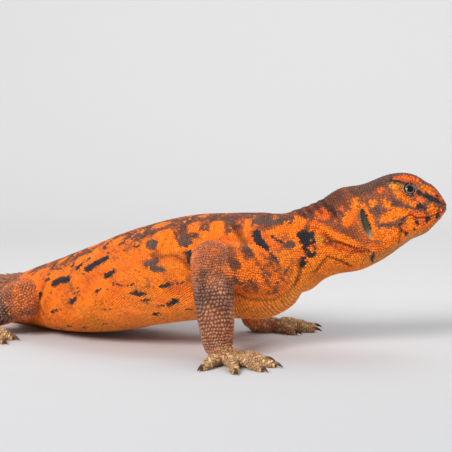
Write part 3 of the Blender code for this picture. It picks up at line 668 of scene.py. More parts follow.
def limb_tints(kind, outer, along, points, rng):
    """Colour of each scale of a limb.

    outer runs from -1 on its inner side to 1 on its outer side, and along from 0 to 1.
    """
    colours = palette()
    grain = rng.normal(0, 1, len(points))
    broad, fine = noise(points, 6.0, 41), noise(points, 2.2, 47)
    orange = np.tile(colours["orange"], (len(points), 1))
    # Elbows and knees, where two parts' scales meet, are one brown orange
    bright = np.clip(0.36 + 1.5 * (fine - 0.5) + 0.1 * grain, 0, 0.9)
    knob = blend(orange * 0 + colours["bead"], colours["rust"], 0.75)
    elbow = blend(blend(knob, colours["umber"], rise(broad, 0.46, 3.0, 0.75)), orange, bright)
    if kind in ("hand", "foot", "palm", "sole"):
        share = 0.7 if kind in ("palm", "sole") else 0.08
        tint = blend(orange * 0 + colours["hand"], colours["rust"], np.clip(share + 0.9 * (fine - 0.5), 0, 1))
        tint = blend(tint, colours["pale"], rise(grain, 0.8, 0.5, 0.35))
    elif kind in ("forearm", "shank"):
        out = step_between(-0.6, 0.1, outer + 0.8 * (broad - 0.5))
        dark = rise(noise(points, 4.6, 59) + 0.07 * grain, 0.5, 7, 0.9)
        dark = dark * (1 - 0.75 * step_between(0.35, 0.6, along))
        # Grey purple towards the elbow, partly the scales' mauve and partly a painted sheen
        mauve_and_sheen = np.clip(0.3 + 3.0 * (noise(points, 5.0, 63) - 0.5), 0, 0.65) * step_between(0.8, 0.5, along)
        ruddy = rise(noise(points, 2.4, 61) + 0.1 * grain, 0.5, 5, 0.8)
        brown = blend(blend(orange * 0 + colours["bead"], colours["rust"], ruddy), colours["mauve"], mauve_and_sheen)
        brown = blend(brown, colours["umber"], dark)
        # A few pale beads: pale flecks, partly painted highlights
        brown = blend(brown, colours["lid"], rise(grain, 1.2, 0.4, 0.14))
        tint = blend(blend(orange, colours["ember"], 0.3), brown, 0.25 + 0.75 * out)
        tint = blend(tint, elbow, 0.7 * step_between(0.5, 0.24, along + 0.2 * (broad - 0.5)))
        tint = blend(tint, colours["hand"], step_between(0.72, 1.0, along) * 0.6)
    else:
        x, y, z = points.T
        stripes = np.stack([x + 0.8 * z, y * 0.5, (z - x) * 0.35], 1)
        streak = noise(stripes, 2.0, 53) + 0.07 * grain + 0.10 * outer + 0.10 * along
        brown = blend(orange * 0 + colours["rust"], colours["umber"], rise(streak, 0.66, 8))
        tint = blend(orange, brown, rise(streak, 0.55, 8, 0.92))
        tint = blend(tint, elbow, 0.85 * step_between(0.6, 0.82, along + 0.2 * (broad - 0.5)))
    return tint * np.clip(1 + 0.12 * grain, 0.7, 1.35)[:, None]


def link(name, data):
    """A new object in the scene, of a mesh, light or camera."""
    made = bpy.data.objects.new(name, data)
    bpy.context.scene.collection.objects.link(made)
    return made


def tint_points(mesh, tints):
    """Stores a colour for each point, which the materials read."""
    layer = mesh.attributes.new("Tint", "FLOAT_COLOR", "POINT")
    layer.data.foreach_set("color", np.c_[tints, np.ones(len(tints))].astype(np.float32).ravel())


def mesh_from_arrays(name, points, faces, tints, uvs):
    """A mesh object of many like pieces, from (N, 3) points and (M, k) faces, with colours and a bake map."""
    mesh = bpy.data.meshes.new(name)
    mesh.vertices.add(len(points))
    mesh.vertices.foreach_set("co", np.ascontiguousarray(points, np.float32).ravel())
    counts = np.concatenate([np.full(len(group), group.shape[1]) for group in faces])
    corners = np.concatenate([group.ravel() for group in faces]).astype(np.int32)
    mesh.loops.add(len(corners))
    mesh.loops.foreach_set("vertex_index", corners)
    mesh.polygons.add(len(counts))
    mesh.polygons.foreach_set("loop_start", np.concatenate([[0], np.cumsum(counts)[:-1]]).astype(np.int32))
    mesh.polygons.foreach_set("loop_total", counts.astype(np.int32))
    mesh.polygons.foreach_set("use_smooth", np.ones(len(counts), bool))
    tint_points(mesh, tints)
    layer = mesh.uv_layers.new(name="OFBake")
    layer.uv.foreach_set("vector", uvs[corners].astype(np.float32).ravel())
    mesh.update(calc_edges=True)
    mesh.validate()
    return link(name, mesh)


def template(sides, top, tilt, crown, back=0.1, sink=0.5):
    """One scale from a capped cone: x towards its rear, z outward, about 1 across and 1 high.

    Top is how wide its roof is, tilt how far the roof rises to the rear, crown the height of its middle,
    back how far the roof is moved to the rear and sink how deep the scale is set.
    """
    mesh = bmesh.new()
    bmesh.ops.create_cone(mesh, cap_ends=True, segments=sides, radius1=0.5, radius2=0.5 * top, depth=1.0)
    roof = max(mesh.faces, key=lambda face: face.calc_center_median().z)
    centre = bmesh.ops.poke(mesh, faces=[roof])["verts"][0]
    for vert in mesh.verts:
        if vert is centre:
            vert.co = Vector((back * 1.6, 0, crown))
        elif vert.co.z > 0:
            vert.co = Vector((vert.co.x + back, vert.co.y, 0.55 + tilt * vert.co.x))
        else:
            vert.co.z = -sink

    # Painted shade down the sides to the sunk foot, where the grooves between scales lie, and a painted
    # highlight on the crown
    def light(place):
        return 0.72 if place.z < 0 else 1.08 if place.z > 0.9 * crown else 0.98
    return template_arrays(mesh, light)


def template_arrays(mesh, shade):
    """Points, faces by their number of corners, and how light each point is, of a small mesh: painted shade
    and highlight on scales and spines, the claws' own colour from root to tip.
    """
    mesh.verts.index_update()
    points = np.array([vert.co[:] for vert in mesh.verts])
    light = np.array([shade(vert.co) for vert in mesh.verts])
    groups = {}
    for face in mesh.faces:
        groups.setdefault(len(face.verts), []).append([vert.index for vert in face.verts])
    mesh.free()
    return points, [np.array(group) for group in groups.values()], light


def rolled(rings, ends=True):
    """A closed tube through rings of equally many points: a grid rolled up, with flat ends."""
    rings = np.asarray(rings, float)
    rings = np.concatenate([rings, rings[:, :1]], 1)
    mesh = bmesh.new()
    bmesh.ops.create_grid(mesh, x_segments=rings.shape[1] - 1, y_segments=rings.shape[0] - 1, size=1.0)
    for vert, place in zip(mesh.verts, rings.reshape(-1, 3)):
        vert.co = place
    bmesh.ops.remove_doubles(mesh, verts=mesh.verts, dist=1e-7)
    if ends:
        bmesh.ops.holes_fill(mesh, edges=mesh.edges)
    bmesh.ops.recalc_face_normals(mesh, faces=mesh.faces)
    return mesh


def spine_template(across=5):
    """A keeled, pointed spine: arches (place, half width, underside, crest) that rise to the tip."""
    sections = ((-0.42, 0.34, -0.3, 0.06), (-0.12, 0.5, -0.3, 0.42), (0.2, 0.40, -0.06, 0.7),
                (0.42, 0.19, 0.38, 0.88), (0.6, 0.03, 0.92, 1.0))
    rings = []
    for x, half, low, crest in sections:
        turns = [math.pi * k / (across - 1) for k in range(across)]
        rings.append([(x, half * math.cos(a), low + (crest - low) * math.sin(a) ** 1.3) for a in turns])

    # Painted shade on the underside, and paler towards the tip
    def light(place):
        return 0.8 if place.z < 0.1 else 0.95 + 0.25 * max(place.x, 0)
    return template_arrays(rolled(rings), light)


def claw_template():
    """A claw, hooked down and narrowing to its tip."""
    rings = []
    for t in np.linspace(0, 1, 11):
        radius = float(np.interp(t, (0, 0.3, 0.55, 0.8, 1.0), (0.86, 0.8, 0.62, 0.36, 0.05)))
        height = 1.25 + 0.5 * math.sin(math.pi * t * 0.9) - 1.0 * t * t
        rings.append([(t, 0.72 * radius * math.cos(a), height + radius * math.sin(a)) for a in full_turn(10)])
    lightness = ((0, 0.3, 0.6, 1), (4.4, 3.2, 1.2, 0.6))  # pale at the root, dark at the tip
    return template_arrays(rolled(rings), lambda place: float(np.interp(place.x, *lightness)))


class Coat:
    """Roots of scales: points, outward and lie directions, sizes, colours and places on the bake map."""

    def __init__(self):
        self.parts = []

    def add(self, points, outward, lie, size, tint, place):
        """Adds roots. A size is (length, width, height) for all of them, or one row each."""
        size = np.broadcast_to(np.asarray(size, float), (len(points), 3))
        self.parts.append([np.asarray(value, float) for value in (points, outward, lie, size, tint, place)])

    def arrays(self):
        """Everything added, as six arrays."""
        return [np.concatenate([part[k] for part in self.parts]) for k in range(6)]


def settle(coat, tree, reach):
    """Moves roots onto the skin, and drops those that it doesn't reach."""
    points, outward, lie, size, tint, place = coat.arrays()
    keep = np.zeros(len(points), bool)
    for k, (point, normal) in enumerate(zip(points, outward)):
        found, face_normal, _, gap = tree.find_nearest(Vector(point))
        if found is None or gap > reach or face_normal.dot(Vector(normal)) < 0.2:
            continue
        keep[k] = True
        points[k] = found
        outward[k] = unit(np.array(face_normal) * 0.6 + normal * 0.4)
    return [value[keep] for value in (points, outward, lie, size, tint, place)]


def scatter(name, shape, roots, rng, jitter=0.06, spread=0.05):
    """Joins one shaped scale per root into a mesh; jitter turns them, spread changes their sizes."""
    points, outward, lie, size, tint, place = roots
    form, faces, light = shape
    turn = rng.normal(0, jitter, len(points))
    lie = unit(lie - outward * np.sum(lie * outward, 1, keepdims=True))
    across = np.cross(outward, lie)
    ahead = lie * np.cos(turn)[:, None] + across * np.sin(turn)[:, None]
    beside = np.cross(outward, ahead)
    scale = size * np.clip(1 + rng.normal(0, spread, (len(points), 1)), 0.8, 1.2)
    parts = [form[None, :, k, None] * scale[:, None, k, None] * way[:, None, :]
             for k, way in enumerate((ahead, beside, outward))]
    corners = points[:, None, :] + parts[0] + parts[1] + parts[2]
    corners[..., 2] = np.maximum(corners[..., 2], FLOOR_GAP - SHIFT[2])  # pressed flat on the floor
    shift = (np.arange(len(points)) * len(form))[:, None, None]
    groups = [(group[None] + shift).reshape(-1, group.shape[1]) for group in faces]
    # Each point's lightness from its shape: painted shade and highlight on scales and spines, the claws' own
    # colour from root to tip
    tints = (tint[:, None, :] * light[None, :, None]).reshape(-1, 3)
    patch = (form[:, :2] - form[:, :2].min(0)) / np.ptp(form[:, :2], axis=0).max() - 0.5
    uvs = (place[:, None, :] + patch[None] * BAKE_PATCH).reshape(-1, 2)
    return mesh_from_arrays(name, (corners.reshape(-1, 3) + SHIFT) * MM, groups, tints, uvs)


def object_of(name, mesh):
    """An object in the scene from a bmesh, smooth shaded."""
    data = bpy.data.meshes.new(name)
    mesh.to_mesh(data)
    mesh.free()
    data.shade_smooth()
    return link(name, data)


def loft(name, rings, ends=True):
    """A skin over rings of equally many points, in mm on the body line's coordinates."""
    return object_of(name, rolled((np.asarray(rings, float) + SHIFT) * MM, ends))


def round_rings(centres, direction, radii, sides, level):
    """Rings of points about a line; radii holds pairs, sideways and in height."""
    side = direction.cross(level).normalized()
    top = side.cross(direction).normalized()
    return [[tuple(centre + side * (math.cos(a) * wide) + top * (math.sin(a) * high))
             for a in full_turn(sides)] for centre, (wide, high) in zip(centres, radii)]


class Limb:
    """One straight part of a leg, a swollen rod with domed ends."""

    def __init__(self, kind, side, start, end, first, last, bulge, level):
        self.kind, self.side, self.start, self.end = kind, side, start, end
        self.first, self.last, self.bulge, self.level = first, last, bulge, level
        self.direction = (end - start).normalized()
        self.length = (end - start).length

    def radius(self, t):
        """The rod's radius from its start at 0 to its end at 1."""
        return self.first + (self.last - self.first) * t + self.bulge * math.sin(math.pi * t)

    def rings(self, sides, grow=0.0):
        """Rings of points from one domed end to the other."""
        def dome(centre, r, way):
            return [(centre + self.direction * r * way * math.sin(a), r * math.cos(a))
                    for a in (math.radians(tilt) for tilt in (84, 66, 48, 32, 16))]

        places = dome(self.start, self.first + grow, -1)
        places += [(self.start.lerp(self.end, k / 24), self.radius(k / 24) + grow) for k in range(25)]
        places += dome(self.end, self.last + grow, 1)[::-1]
        centres, radii = zip(*((place, (r, r)) for place, r in places))
        return round_rings(centres, self.direction, radii, sides, self.level)

    def roots(self, unit_pitch, grow, rng):
        """Rows of places round the limb, out to its domed ends, with the pitch at each."""
        side = self.direction.cross(self.level).normalized()
        top = side.cross(self.direction).normalized()
        points, outward, lie, places, pitches = [], [], [], [], []
        stations, shares = zip(*LIMB_PITCH[self.kind])
        row, along = 0, -self.first * 1.4
        while along < self.length + self.last * 1.4:
            pitch = unit_pitch * float(np.interp(along / self.length, stations, shares))
            if along < 0:
                tilt = -along / self.first
                centre = self.start - self.direction * self.first * math.sin(tilt)
                r, lean_by = self.first * math.cos(tilt), -tilt
            elif along > self.length:
                tilt = (along - self.length) / self.last
                centre = self.end + self.direction * self.last * math.sin(tilt)
                r, lean_by = self.last * math.cos(tilt), tilt
            else:
                centre = self.start + self.direction * along
                r, lean_by = self.radius(along / self.length), 0.0
            count = max(int(2 * math.pi * r / pitch), 5)
            for k in range(count):
                a = 2 * math.pi * (k + 0.5 * (row % 2)) / count
                spoke = side * math.cos(a) + top * math.sin(a)
                out = (spoke * math.cos(lean_by) + self.direction * math.sin(lean_by)).normalized()
                points.append(centre + spoke * (r + grow))
                outward.append(out)
                lie.append(self.direction)
                places.append((along, a))
                pitches.append(pitch)
            row += 1
            along += pitch
        points, places, pitches = np.array(points), np.array(places), np.array(pitches)
        around = np.cross(np.array(outward), np.array(self.direction))
        for way, seed in ((np.array(self.direction), 67), (around, 73)):
            sway = 1.1 * (noise(points, 3.2, seed) - 0.5) + rng.normal(0, 0.09, len(points))
            points = points + way * (sway * pitches)[:, None]
        u = (places[:, 0] - places[:, 0].min()) / np.ptp(places[:, 0])
        v = (places[:, 1] / (2 * math.pi) + (self.side < 0)) / 2
        return points, np.array(outward), np.array(lie), 0.02 + 0.95 * np.stack([u, v], 1), pitches


def placed(at, side, offset):
    """A point at (forward, outward, height) from the floor under a place of the body line."""
    point, forward, right, _ = (Vector(value[0]) for value in frames([at]))
    level = Vector((forward.x, forward.y, 0)).normalized()
    forward, outward, height = offset
    return Vector((point.x, point.y, 0)) + level * forward + right * (outward * side) + Vector((0, 0, height))


def turned(direction, degrees):
    """A level direction turned about the vertical."""
    a = math.radians(degrees)
    return Vector((direction.x * math.cos(a) - direction.y * math.sin(a),
                   direction.x * math.sin(a) + direction.y * math.cos(a), 0))


def leg_plan(side, at, joints, radii, palm_size, digits, turn, kinds):
    """Limbs, palm and digits of one leg, as lines that lofts and scales are laid along."""
    root, bend, wrist = (placed(at, side, joint) for joint in joints)
    forward = Vector(frames([at])[1][0])
    direction = turned(Vector((forward.x, forward.y, 0)).normalized(), -turn * side)
    palm = Vector((wrist.x, wrist.y, palm_size[2] - FLOOR_BITE)) + direction * (palm_size[0] * 0.72)
    limbs = [Limb(kinds[0], side, root, bend, radii[0], radii[1], 0.5, UP),
             Limb(kinds[1], side, bend, wrist, radii[2], radii[3], 0.4, Vector((1, 0.2, 0)))]
    fingers = []
    for angle, length in digits:
        way = turned(direction, angle * side)
        along, across = abs(math.cos(math.radians(angle))), abs(math.sin(math.radians(angle)))
        knuckle = palm + way * (palm_size[0] * 0.55 * along + palm_size[1] * 0.62 * across)
        fingers.append((knuckle, way, length))
    return {"limbs": limbs, "palm": (palm, direction, palm_size), "fingers": fingers, "side": side,
            "kind": kinds[2]}


def leg_plans():
    """The four legs: right fore and hind, then left fore and hind."""
    plans = []
    for side, joints in ((1, FORE_JOINTS), (-1, FORE_JOINTS_LEFT)):
        plans.append(leg_plan(side, FORE_AT, joints, FORE_RADII, HAND_PALM, HAND_DIGITS, HAND_TURN,
                              ("upper_arm", "forearm", "hand")))
        plans.append(leg_plan(side, HIND_AT, HIND_JOINTS, HIND_RADII, FOOT_PALM, FOOT_DIGITS, FOOT_TURN,
                              ("thigh", "shank", "foot")))
    return plans


def finger_line(finger, steps=22):
    """Centres and radii along one finger or toe, arched and knuckled, down to the root of its claw."""
    knuckle, way, length = finger
    centres, radii = [], []
    for k in range(steps + 1):
        t = k / steps
        taper = float(np.interp(t, (0, 0.35, 0.7, 0.92, 1.0), (1.0, 1.0, 0.9, 0.76, 0.5)))
        radius = DIGIT_RADIUS * taper * (1 + 0.05 * math.cos(t * 2 * math.pi * 3))
        height = DIGIT_RADIUS * taper - FLOOR_BITE * 0.6 + 0.75 * math.sin(math.pi * min(t * 1.35, 1.0))
        centres.append(Vector((knuckle.x, knuckle.y, height)) + way * length * t)
        radii.append(radius)
    return centres, radii


def palm_line(palm, steps=16):
    """Centres and pairs of radii along a palm or a sole."""
    centre, direction, size = palm
    centres, radii = [], []
    for k in range(steps + 1):
        t = -1 + 2 * k / steps
        w = float(np.interp(t, (-1, -0.8, -0.35, 0.3, 0.75, 1), (0.3, 0.68, 0.94, 1, 0.8, 0.4)))
        centres.append(centre + direction * size[0] * t)
        radii.append((size[1] * w - 0.15, size[2] * max(w, 0.5) - 0.15))
    return centres, radii


def boolean(body, others, operation, solver="MANIFOLD"):
    """Joins or cuts with closed meshes, applies it and removes them."""
    group = bpy.data.collections.new("pieces")
    bpy.context.scene.collection.children.link(group)
    for other in others:
        for holder in list(other.users_collection):
            holder.objects.unlink(other)
        group.objects.link(other)
    step = body.modifiers.new("pieces", "BOOLEAN")
    step.operand_type = "COLLECTION"
    step.collection = group
    step.operation = operation
    step.solver = solver
    graph = bpy.context.evaluated_depsgraph_get()
    made = bpy.data.meshes.new_from_object(body.evaluated_get(graph))
    body.modifiers.remove(step)
    body.data = made
    for other in others:
        bpy.data.objects.remove(other)
    bpy.data.collections.remove(group)
    return body


def world(point):
    """A point in mm on the body line's coordinates, in metres in the CAD frame."""
    return (Vector(point) + Vector(SHIFT)) * MM


def ball(name, centre, axes, size, segments=24, rings=16):
    """An ellipsoid cutter with half sizes along three directions, in mm."""
    mesh = bmesh.new()
    bmesh.ops.create_uvsphere(mesh, u_segments=segments, v_segments=rings, radius=1.0)
    turn = Matrix(axes).transposed().to_4x4()
    mesh.transform(Matrix.Translation(world(centre)) @ turn @ Matrix.Diagonal((*(Vector(size) * MM), 1)))
    if mesh.calc_volume(signed=True) < 0:  # its axes are left-handed, which turns it inside out
        bmesh.ops.reverse_faces(mesh, faces=mesh.faces)
    return object_of(name, mesh)


def keep_largest(body):
    """Drops the loose scraps of skin that a cut leaves."""
    mesh = bmesh.new()
    mesh.from_mesh(body.data)
    islands, seen = [], set()
    for start in mesh.verts:
        if start in seen:
            continue
        island, waiting = [], [start]
        seen.add(start)
        while waiting:
            vert = waiting.pop()
            island.append(vert)
            for edge in vert.link_edges:
                other = edge.other_vert(vert)
                if other not in seen:
                    seen.add(other)
                    waiting.append(other)
        islands.append(island)
    islands.sort(key=len)
    bmesh.ops.delete(mesh, geom=[vert for island in islands[:-1] for vert in island], context="VERTS")
    mesh.to_mesh(body.data)
    mesh.free()


def lid_rings(side, steps=48, sides=12):
    """Rings of points along the rim of an eye's lids."""
    centre, outward, backward = eye_place(side)
    top = outward.cross(backward).normalized()
    rim = centre + outward * 1.35
    rings = []
    for a in full_turn(steps):
        radial = backward * math.cos(a) + top * math.sin(a)
        at = rim + backward * (2.22 * math.cos(a)) + top * (1.88 * math.sin(a))
        rings.append([tuple(at + (radial * math.cos(b) + outward * math.sin(b)) * LID_RADIUS)
                      for b in full_turn(sides)])
    return rings


def ring_body(name, rings):
    """A closed tube whose last ring meets its first."""
    return loft(name, rings + rings[:1], ends=False)


def mouth_cutter():
    """A thin wedge along the mouth line, from one corner of the mouth round the snout to the other."""
    turn_at = curve(MOUTH_LINE)
    back = [15.4 - 0.45 * k for k in range(33)] + [0.7]
    places = [(s, -1) for s in back] + [(s, 1) for s in back[::-1]]
    rings = []
    for s, side in places:
        here, outward, _ = one_frame(s, angle_on(side, float(turn_at(s))))
        up = Vector(frames([s])[3][0])
        opening = 0.26 * (0.5 if s > 14.6 else 1.0)
        inner, outer = here - outward * 0.75, here + outward * 0.6
        rings.append([tuple(inner + up * 0.08), tuple(outer + up * opening), tuple(outer - up * opening),
                      tuple(inner - up * 0.08)])
    return loft("mouth_cutter", rings)


def ear_frame(side):
    """(centre, outward, backward, upward) of an ear opening."""
    here, outward, backward = one_frame(EAR_AT[0], angle_on(side, EAR_AT[1]))
    top = backward.cross(outward).normalized()
    if top.z < 0:
        top = -top
    slope = math.radians(EAR_SLOPE)
    tall = (top * math.cos(slope) + backward * math.sin(slope)).normalized()
    return here, outward, backward, tall


def smooth_near(body, mask, rounds):
    """Evens out the masked points of a mesh between their neighbours."""
    mesh = body.data
    count = len(mesh.vertices)
    points = np.empty(count * 3)
    mesh.vertices.foreach_get("co", points)
    points = points.reshape(-1, 3)
    edges = np.empty(len(mesh.edges) * 2, np.int32)
    mesh.edges.foreach_get("vertices", edges)
    a, b = edges.reshape(-1, 2).T
    degree = np.maximum(np.bincount(a, minlength=count) + np.bincount(b, minlength=count), 1)
    for _ in range(rounds):
        total = np.zeros_like(points)
        for k in range(3):
            total[:, k] = np.bincount(a, points[b, k], count) + np.bincount(b, points[a, k], count)
        points += (total / degree[:, None] - points) * (0.5 * mask)[:, None]
    mesh.vertices.foreach_set("co", points.ravel())
    mesh.update()


def tree_of(body):
    """A search tree of a mesh in mm on the body line's coordinates."""
    mesh = bmesh.new()
    mesh.from_mesh(body.data)
    mesh.transform(Matrix.Translation(-Vector(SHIFT)) @ Matrix.Scale(1 / MM, 4))
    tree = BVHTree.FromBMesh(mesh)
    mesh.free()
    return tree


def mesh_points(body):
    """A mesh's points in mm on the body line's coordinates."""
    points = np.empty(len(body.data.vertices) * 3)
    body.data.vertices.foreach_get("co", points)
    return points.reshape(-1, 3) / MM - SHIFT


def kd_tree(points):
    """A search tree of points."""
    tree = KDTree(max(len(points), 1))
    for k, point in enumerate(points):
        tree.insert(point, k)
    tree.balance()
    return tree


def crease_mask(skin, points):
    """1 near sharp inner edges, where one part grows out of another, fading out over about 2 mm."""
    mesh = bmesh.new()
    mesh.from_mesh(skin.data)
    mesh.normal_update()
    places = []
    for edge in mesh.edges:
        if len(edge.link_faces) == 2 and edge.calc_face_angle_signed(0) < -0.35:
            places += [vert.co / MM - Vector(SHIFT) for vert in edge.verts]
    mesh.free()
    tree = kd_tree(places)
    mask = np.zeros(len(points))
    for k, point in enumerate(points):
        reach = 0.8 if point[2] < 3.6 else 2.4  # less between the fingers
        if point[0] < -36:  # behind the head
            gap = tree.find(Vector(point))[2]
            mask[k] = max(1 - (gap if gap is not None else 9) / reach, 0)
    return np.sqrt(mask)


def make_skin():
    """One skin over body, legs and fingers, with sockets, lids, nostrils, ears and mouth line cut in."""
    depth = size_mm("coat_depth")
    distances = np.concatenate([[0.04, 0.12, 0.25, 0.42, 0.62, 0.85, 1.1, 1.4, 1.7], np.arange(2.0, 66, 0.4),
                                np.arange(66, 156, 0.85), np.arange(156, TAIL_TIP - 2, 0.95),
                                TAIL_TIP - np.array([1.7, 1.2, 0.8, 0.5, 0.25, 0.1, 0.04])])
    angles = np.arange(0, 360, 2.4)
    rings = skin_points(np.repeat(distances, len(angles)), np.tile(angles, len(distances)), -depth)
    skin = loft("skin", rings.reshape(len(distances), len(angles), 3))
    extras = []
    for plan in leg_plans():
        extras += [loft("part", part.rings(40, -depth)) for part in plan["limbs"]]
        centres, radii = palm_line(plan["palm"])
        extras.append(loft("palm", round_rings(centres, plan["palm"][1], radii, 28, UP)))
        for finger in plan["fingers"]:
            centres, radii = finger_line(finger)
            pairs = [(r * 1.02 - 0.15, r - 0.15) for r in radii]
            extras.append(loft("finger", round_rings(centres, finger[1], pairs, 14, UP)))
    boolean(skin, extras, "UNION")
    smooth_near(skin, crease_mask(skin, mesh_points(skin)), 14)
    cutters = [mouth_cutter()]
    for side in (1, -1):
        cutters.append(ball("socket", eye_place(side)[0], AXES, (EYE_RADIUS + 0.12,) * 3))
        nostril, way, backward = one_frame(NOSTRIL_AT[0], angle_on(side, NOSTRIL_AT[1]))
        axes = (backward, backward.cross(way), way)
        cutters.append(ball("nostril", nostril + way * 0.05, axes, (0.5, 0.42, 0.6), 12, 8))
        here, out, _, tall = ear_frame(side)
        cutters.append(ball("ear", here - out * EAR_SUNK, (out.cross(tall), out, tall), EAR_CUT, 28, 20))
    boolean(skin, [ring_body("lid", lid_rings(side)) for side in (1, -1)], "UNION")
    boolean(skin, cutters, "DIFFERENCE")
    boolean(skin, [floor_cutter()], "DIFFERENCE")
    keep_largest(skin)
    skin.data.shade_smooth()
    return skin


def floor_cutter():
    """A block under the floor, which presses the flats of belly, tail, hands and feet."""
    mesh = bmesh.new()
    bmesh.ops.create_cube(mesh, size=1.0)
    mesh.transform(Matrix.Translation((0, 0, -0.01)) @ Matrix.Diagonal((0.8, 0.8, 0.02, 1)))
    return object_of("floor_cutter", mesh)


def paint_skin(skin):
    """Gives each point of the skin the nearest scale's colour, darker as painted shade between the scales,
    and in ears, sockets and nostrils its own colours with painted shade in their hollows.
    """
    points, tints = (np.concatenate(parts) for parts in zip(*STATE["roots"]))
    tree = kd_tree(points)
    places = mesh_points(skin)
    nearest = np.array([tree.find(Vector(place))[1] for place in places])
    # The nearest scale's colour at 0.6: painted shade in the gaps between the scales
    colour = tints[nearest] * 0.6
    shades = palette()
    for side in (1, -1):
        gap = np.linalg.norm(places - np.array(eye_place(side)[0]), axis=1)
        # Dark mauve round the eye, and black next to the eyeball: painted shade in the socket
        colour[gap < EYE_RADIUS + 0.75] = shades["mauve"] * 0.5
        colour[gap < EYE_RADIUS + 0.3] = shades["black"] * 0.6
        here, out, backward, tall = (np.array(v) for v in ear_frame(side))
        across = np.cross(out, tall)
        across = across * np.sign(across @ backward)
        off = places - here
        depth, up, along = off @ out, off @ tall, off @ across
        reach = np.linalg.norm(np.stack([along, depth + EAR_SUNK, up], 1) / np.array(EAR_CUT), axis=1)
        cup = (reach < 1.02) & (depth < -0.15)
        # Painted shade in the ear's cup: near black at its front under the fringe and lit towards its back
        # wall; darker at the top, partly painted shade, and paler low down
        low = step_between(-1.0, -4.0, up[cup])
        lit = 0.12 + 0.88 * step_between(-0.5, 0.9, along[cup] + 0.5 * low)
        inside = blend(shades["ear"] * 0.42, blend(shades["ear"], shades["lid"], 0.3), low)
        colour[cup] = blend(shades["black"] * 0.5, inside, lit)
        nostril = np.array(one_frame(NOSTRIL_AT[0], angle_on(side, NOSTRIL_AT[1]))[0])
        # The nostril's pit black: painted shade
        colour[np.linalg.norm(places - nostril, axis=1) < 0.55] = shades["black"] * 0.5
    tint_points(skin.data, colour)


def arc_length(points):
    """How far along a line each of its points lies."""
    return np.concatenate([[0], np.cumsum(np.linalg.norm(np.diff(points, axis=0), axis=1))])


def body_rows(low, high, pitch, keep, depth, seed, scatter_by=0.05, wander=0.0):
    """(distances, angles) of scales in staggered rows round the body, a pitch apart along and round it.

    Wander bends the rows by up to that many pitches, and scatter_by moves each scale at random.
    """
    fine = np.arange(max(low - ROW_MARGIN, 0.05), high + ROW_MARGIN, 0.05)
    arc = arc_length(skin_points(fine, 25.0))
    rows = np.interp(np.arange(pitch / 2, arc[-1], pitch), arc, fine)
    dense = np.arange(0, 361, 1.5)
    rng = np.random.default_rng(seed)
    at, turn = [], []
    for k, s in enumerate(rows):
        around = arc_length(skin_points(s, dense, -depth))
        count = max(int(round(around[-1] / pitch)), 6)
        spots = (np.arange(count) + 0.5 * (k % 2)) / count * around[-1]
        angles = np.interp(spots, around, dense)
        turns = np.radians(angles)
        here = np.stack([np.full(count, s), np.cos(turns) * 14, np.sin(turns) * 14], 1)
        sway = (noise(here, 5.0, seed + 3) - 0.5) * 2 * wander + rng.normal(0, scatter_by, count)
        slide = (noise(here, 5.0, seed + 7) - 0.5) * 2 * wander + rng.normal(0, scatter_by, count)
        at.append(np.clip(s + sway * pitch, 0.05, TAIL_TIP))
        turn.append(angles + slide * pitch * 360 / around[-1])
    at, turn = np.concatenate(at), np.concatenate(turn)
    kept = keep(at, side_angle(turn), np.cos(np.radians(turn)))
    kept &= (at > low - 0.2 * pitch) & (at < high + 0.2 * pitch)
    return at[kept], turn[kept]


def unwrap(s, angle):
    """A place from 0 to 1 each way on the unwrapped body."""
    u = (s - s.min()) / max(np.ptp(s), 1e-6)
    v = (angle - angle.min()) / max(np.ptp(angle), 1e-6)
    return BAKE_EDGE + (1 - 2 * BAKE_EDGE) * np.stack([u, v], 1)


def lay_body(name, shape, low, high, pitch, size, keep, seed, finish, slot, **rows):
    """Lays rows of one kind of scale on the body and keeps their roots for the skin's colours."""
    rng = np.random.default_rng(seed)
    depth = size_mm("coat_depth")
    s, angle = body_rows(low, high, pitch, keep, depth, seed, **rows)
    points, outward, lie = skin_frames(s, angle, -depth)
    coat = Coat()
    coat.add(points, outward, lie, size, body_tints(s, angle, rng), unwrap(s, angle))
    return lay(name, shape, coat, finish, rng, 0.5)


def lay(name, shape, coat, finish, rng, reach, jitter=0.06, spread=0.05, colours_skin=True):
    """Sets a coat's roots on the skin and makes one piece of its scales."""
    roots = settle(coat, STATE["tree"], reach)
    if colours_skin:
        STATE["roots"].append((roots[0], roots[4]))
    return dress(scatter(name, shape, roots, rng, jitter, spread), materials()[finish])


def dress(made, material):
    """Gives a piece its material and its place in the model."""
    made.data.materials.clear()
    made.data.materials.append(material)
    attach(made, "root")
    return made


def add_node(tree, kind, values=None, **settings):
    """Adds a shader node with its settings and socket values."""
    node = tree.nodes.new(kind)
    for key, value in settings.items():
        setattr(node, key, value)
    for key, value in (values or {}).items():
        node.inputs[key].default_value = value
    return node


def new_material(name, values):
    """A material of one shader: (material, its node tree, its shader)."""
    material = bpy.data.materials.new(name)
    material.use_nodes = True
    tree = material.node_tree
    tree.nodes.clear()
    out = add_node(tree, "ShaderNodeOutputMaterial")
    shader = add_node(tree, "ShaderNodeBsdfPrincipled", values)
    tree.links.new(shader.outputs[0], out.inputs[0])
    return material, tree, shader


def noise_node(tree, grain_mm, detail=2.0):
    """Noise on object coordinates, with features of a size in millimetres."""
    place = add_node(tree, "ShaderNodeTexCoord")
    node = add_node(tree, "ShaderNodeTexNoise", {"Scale": 1 / (grain_mm * MM), "Detail": detail})
    tree.links.new(place.outputs["Object"], node.inputs["Vector"])
    return node


def map_range(tree, value, low, high, to_low=0.0, to_high=1.0):
    """The output that takes low..high of a value to another range."""
    node = add_node(tree, "ShaderNodeMapRange",
                    {"From Min": low, "From Max": high, "To Min": to_low, "To Max": to_high})
    tree.links.new(value, node.inputs["Value"])
    return node.outputs["Result"]


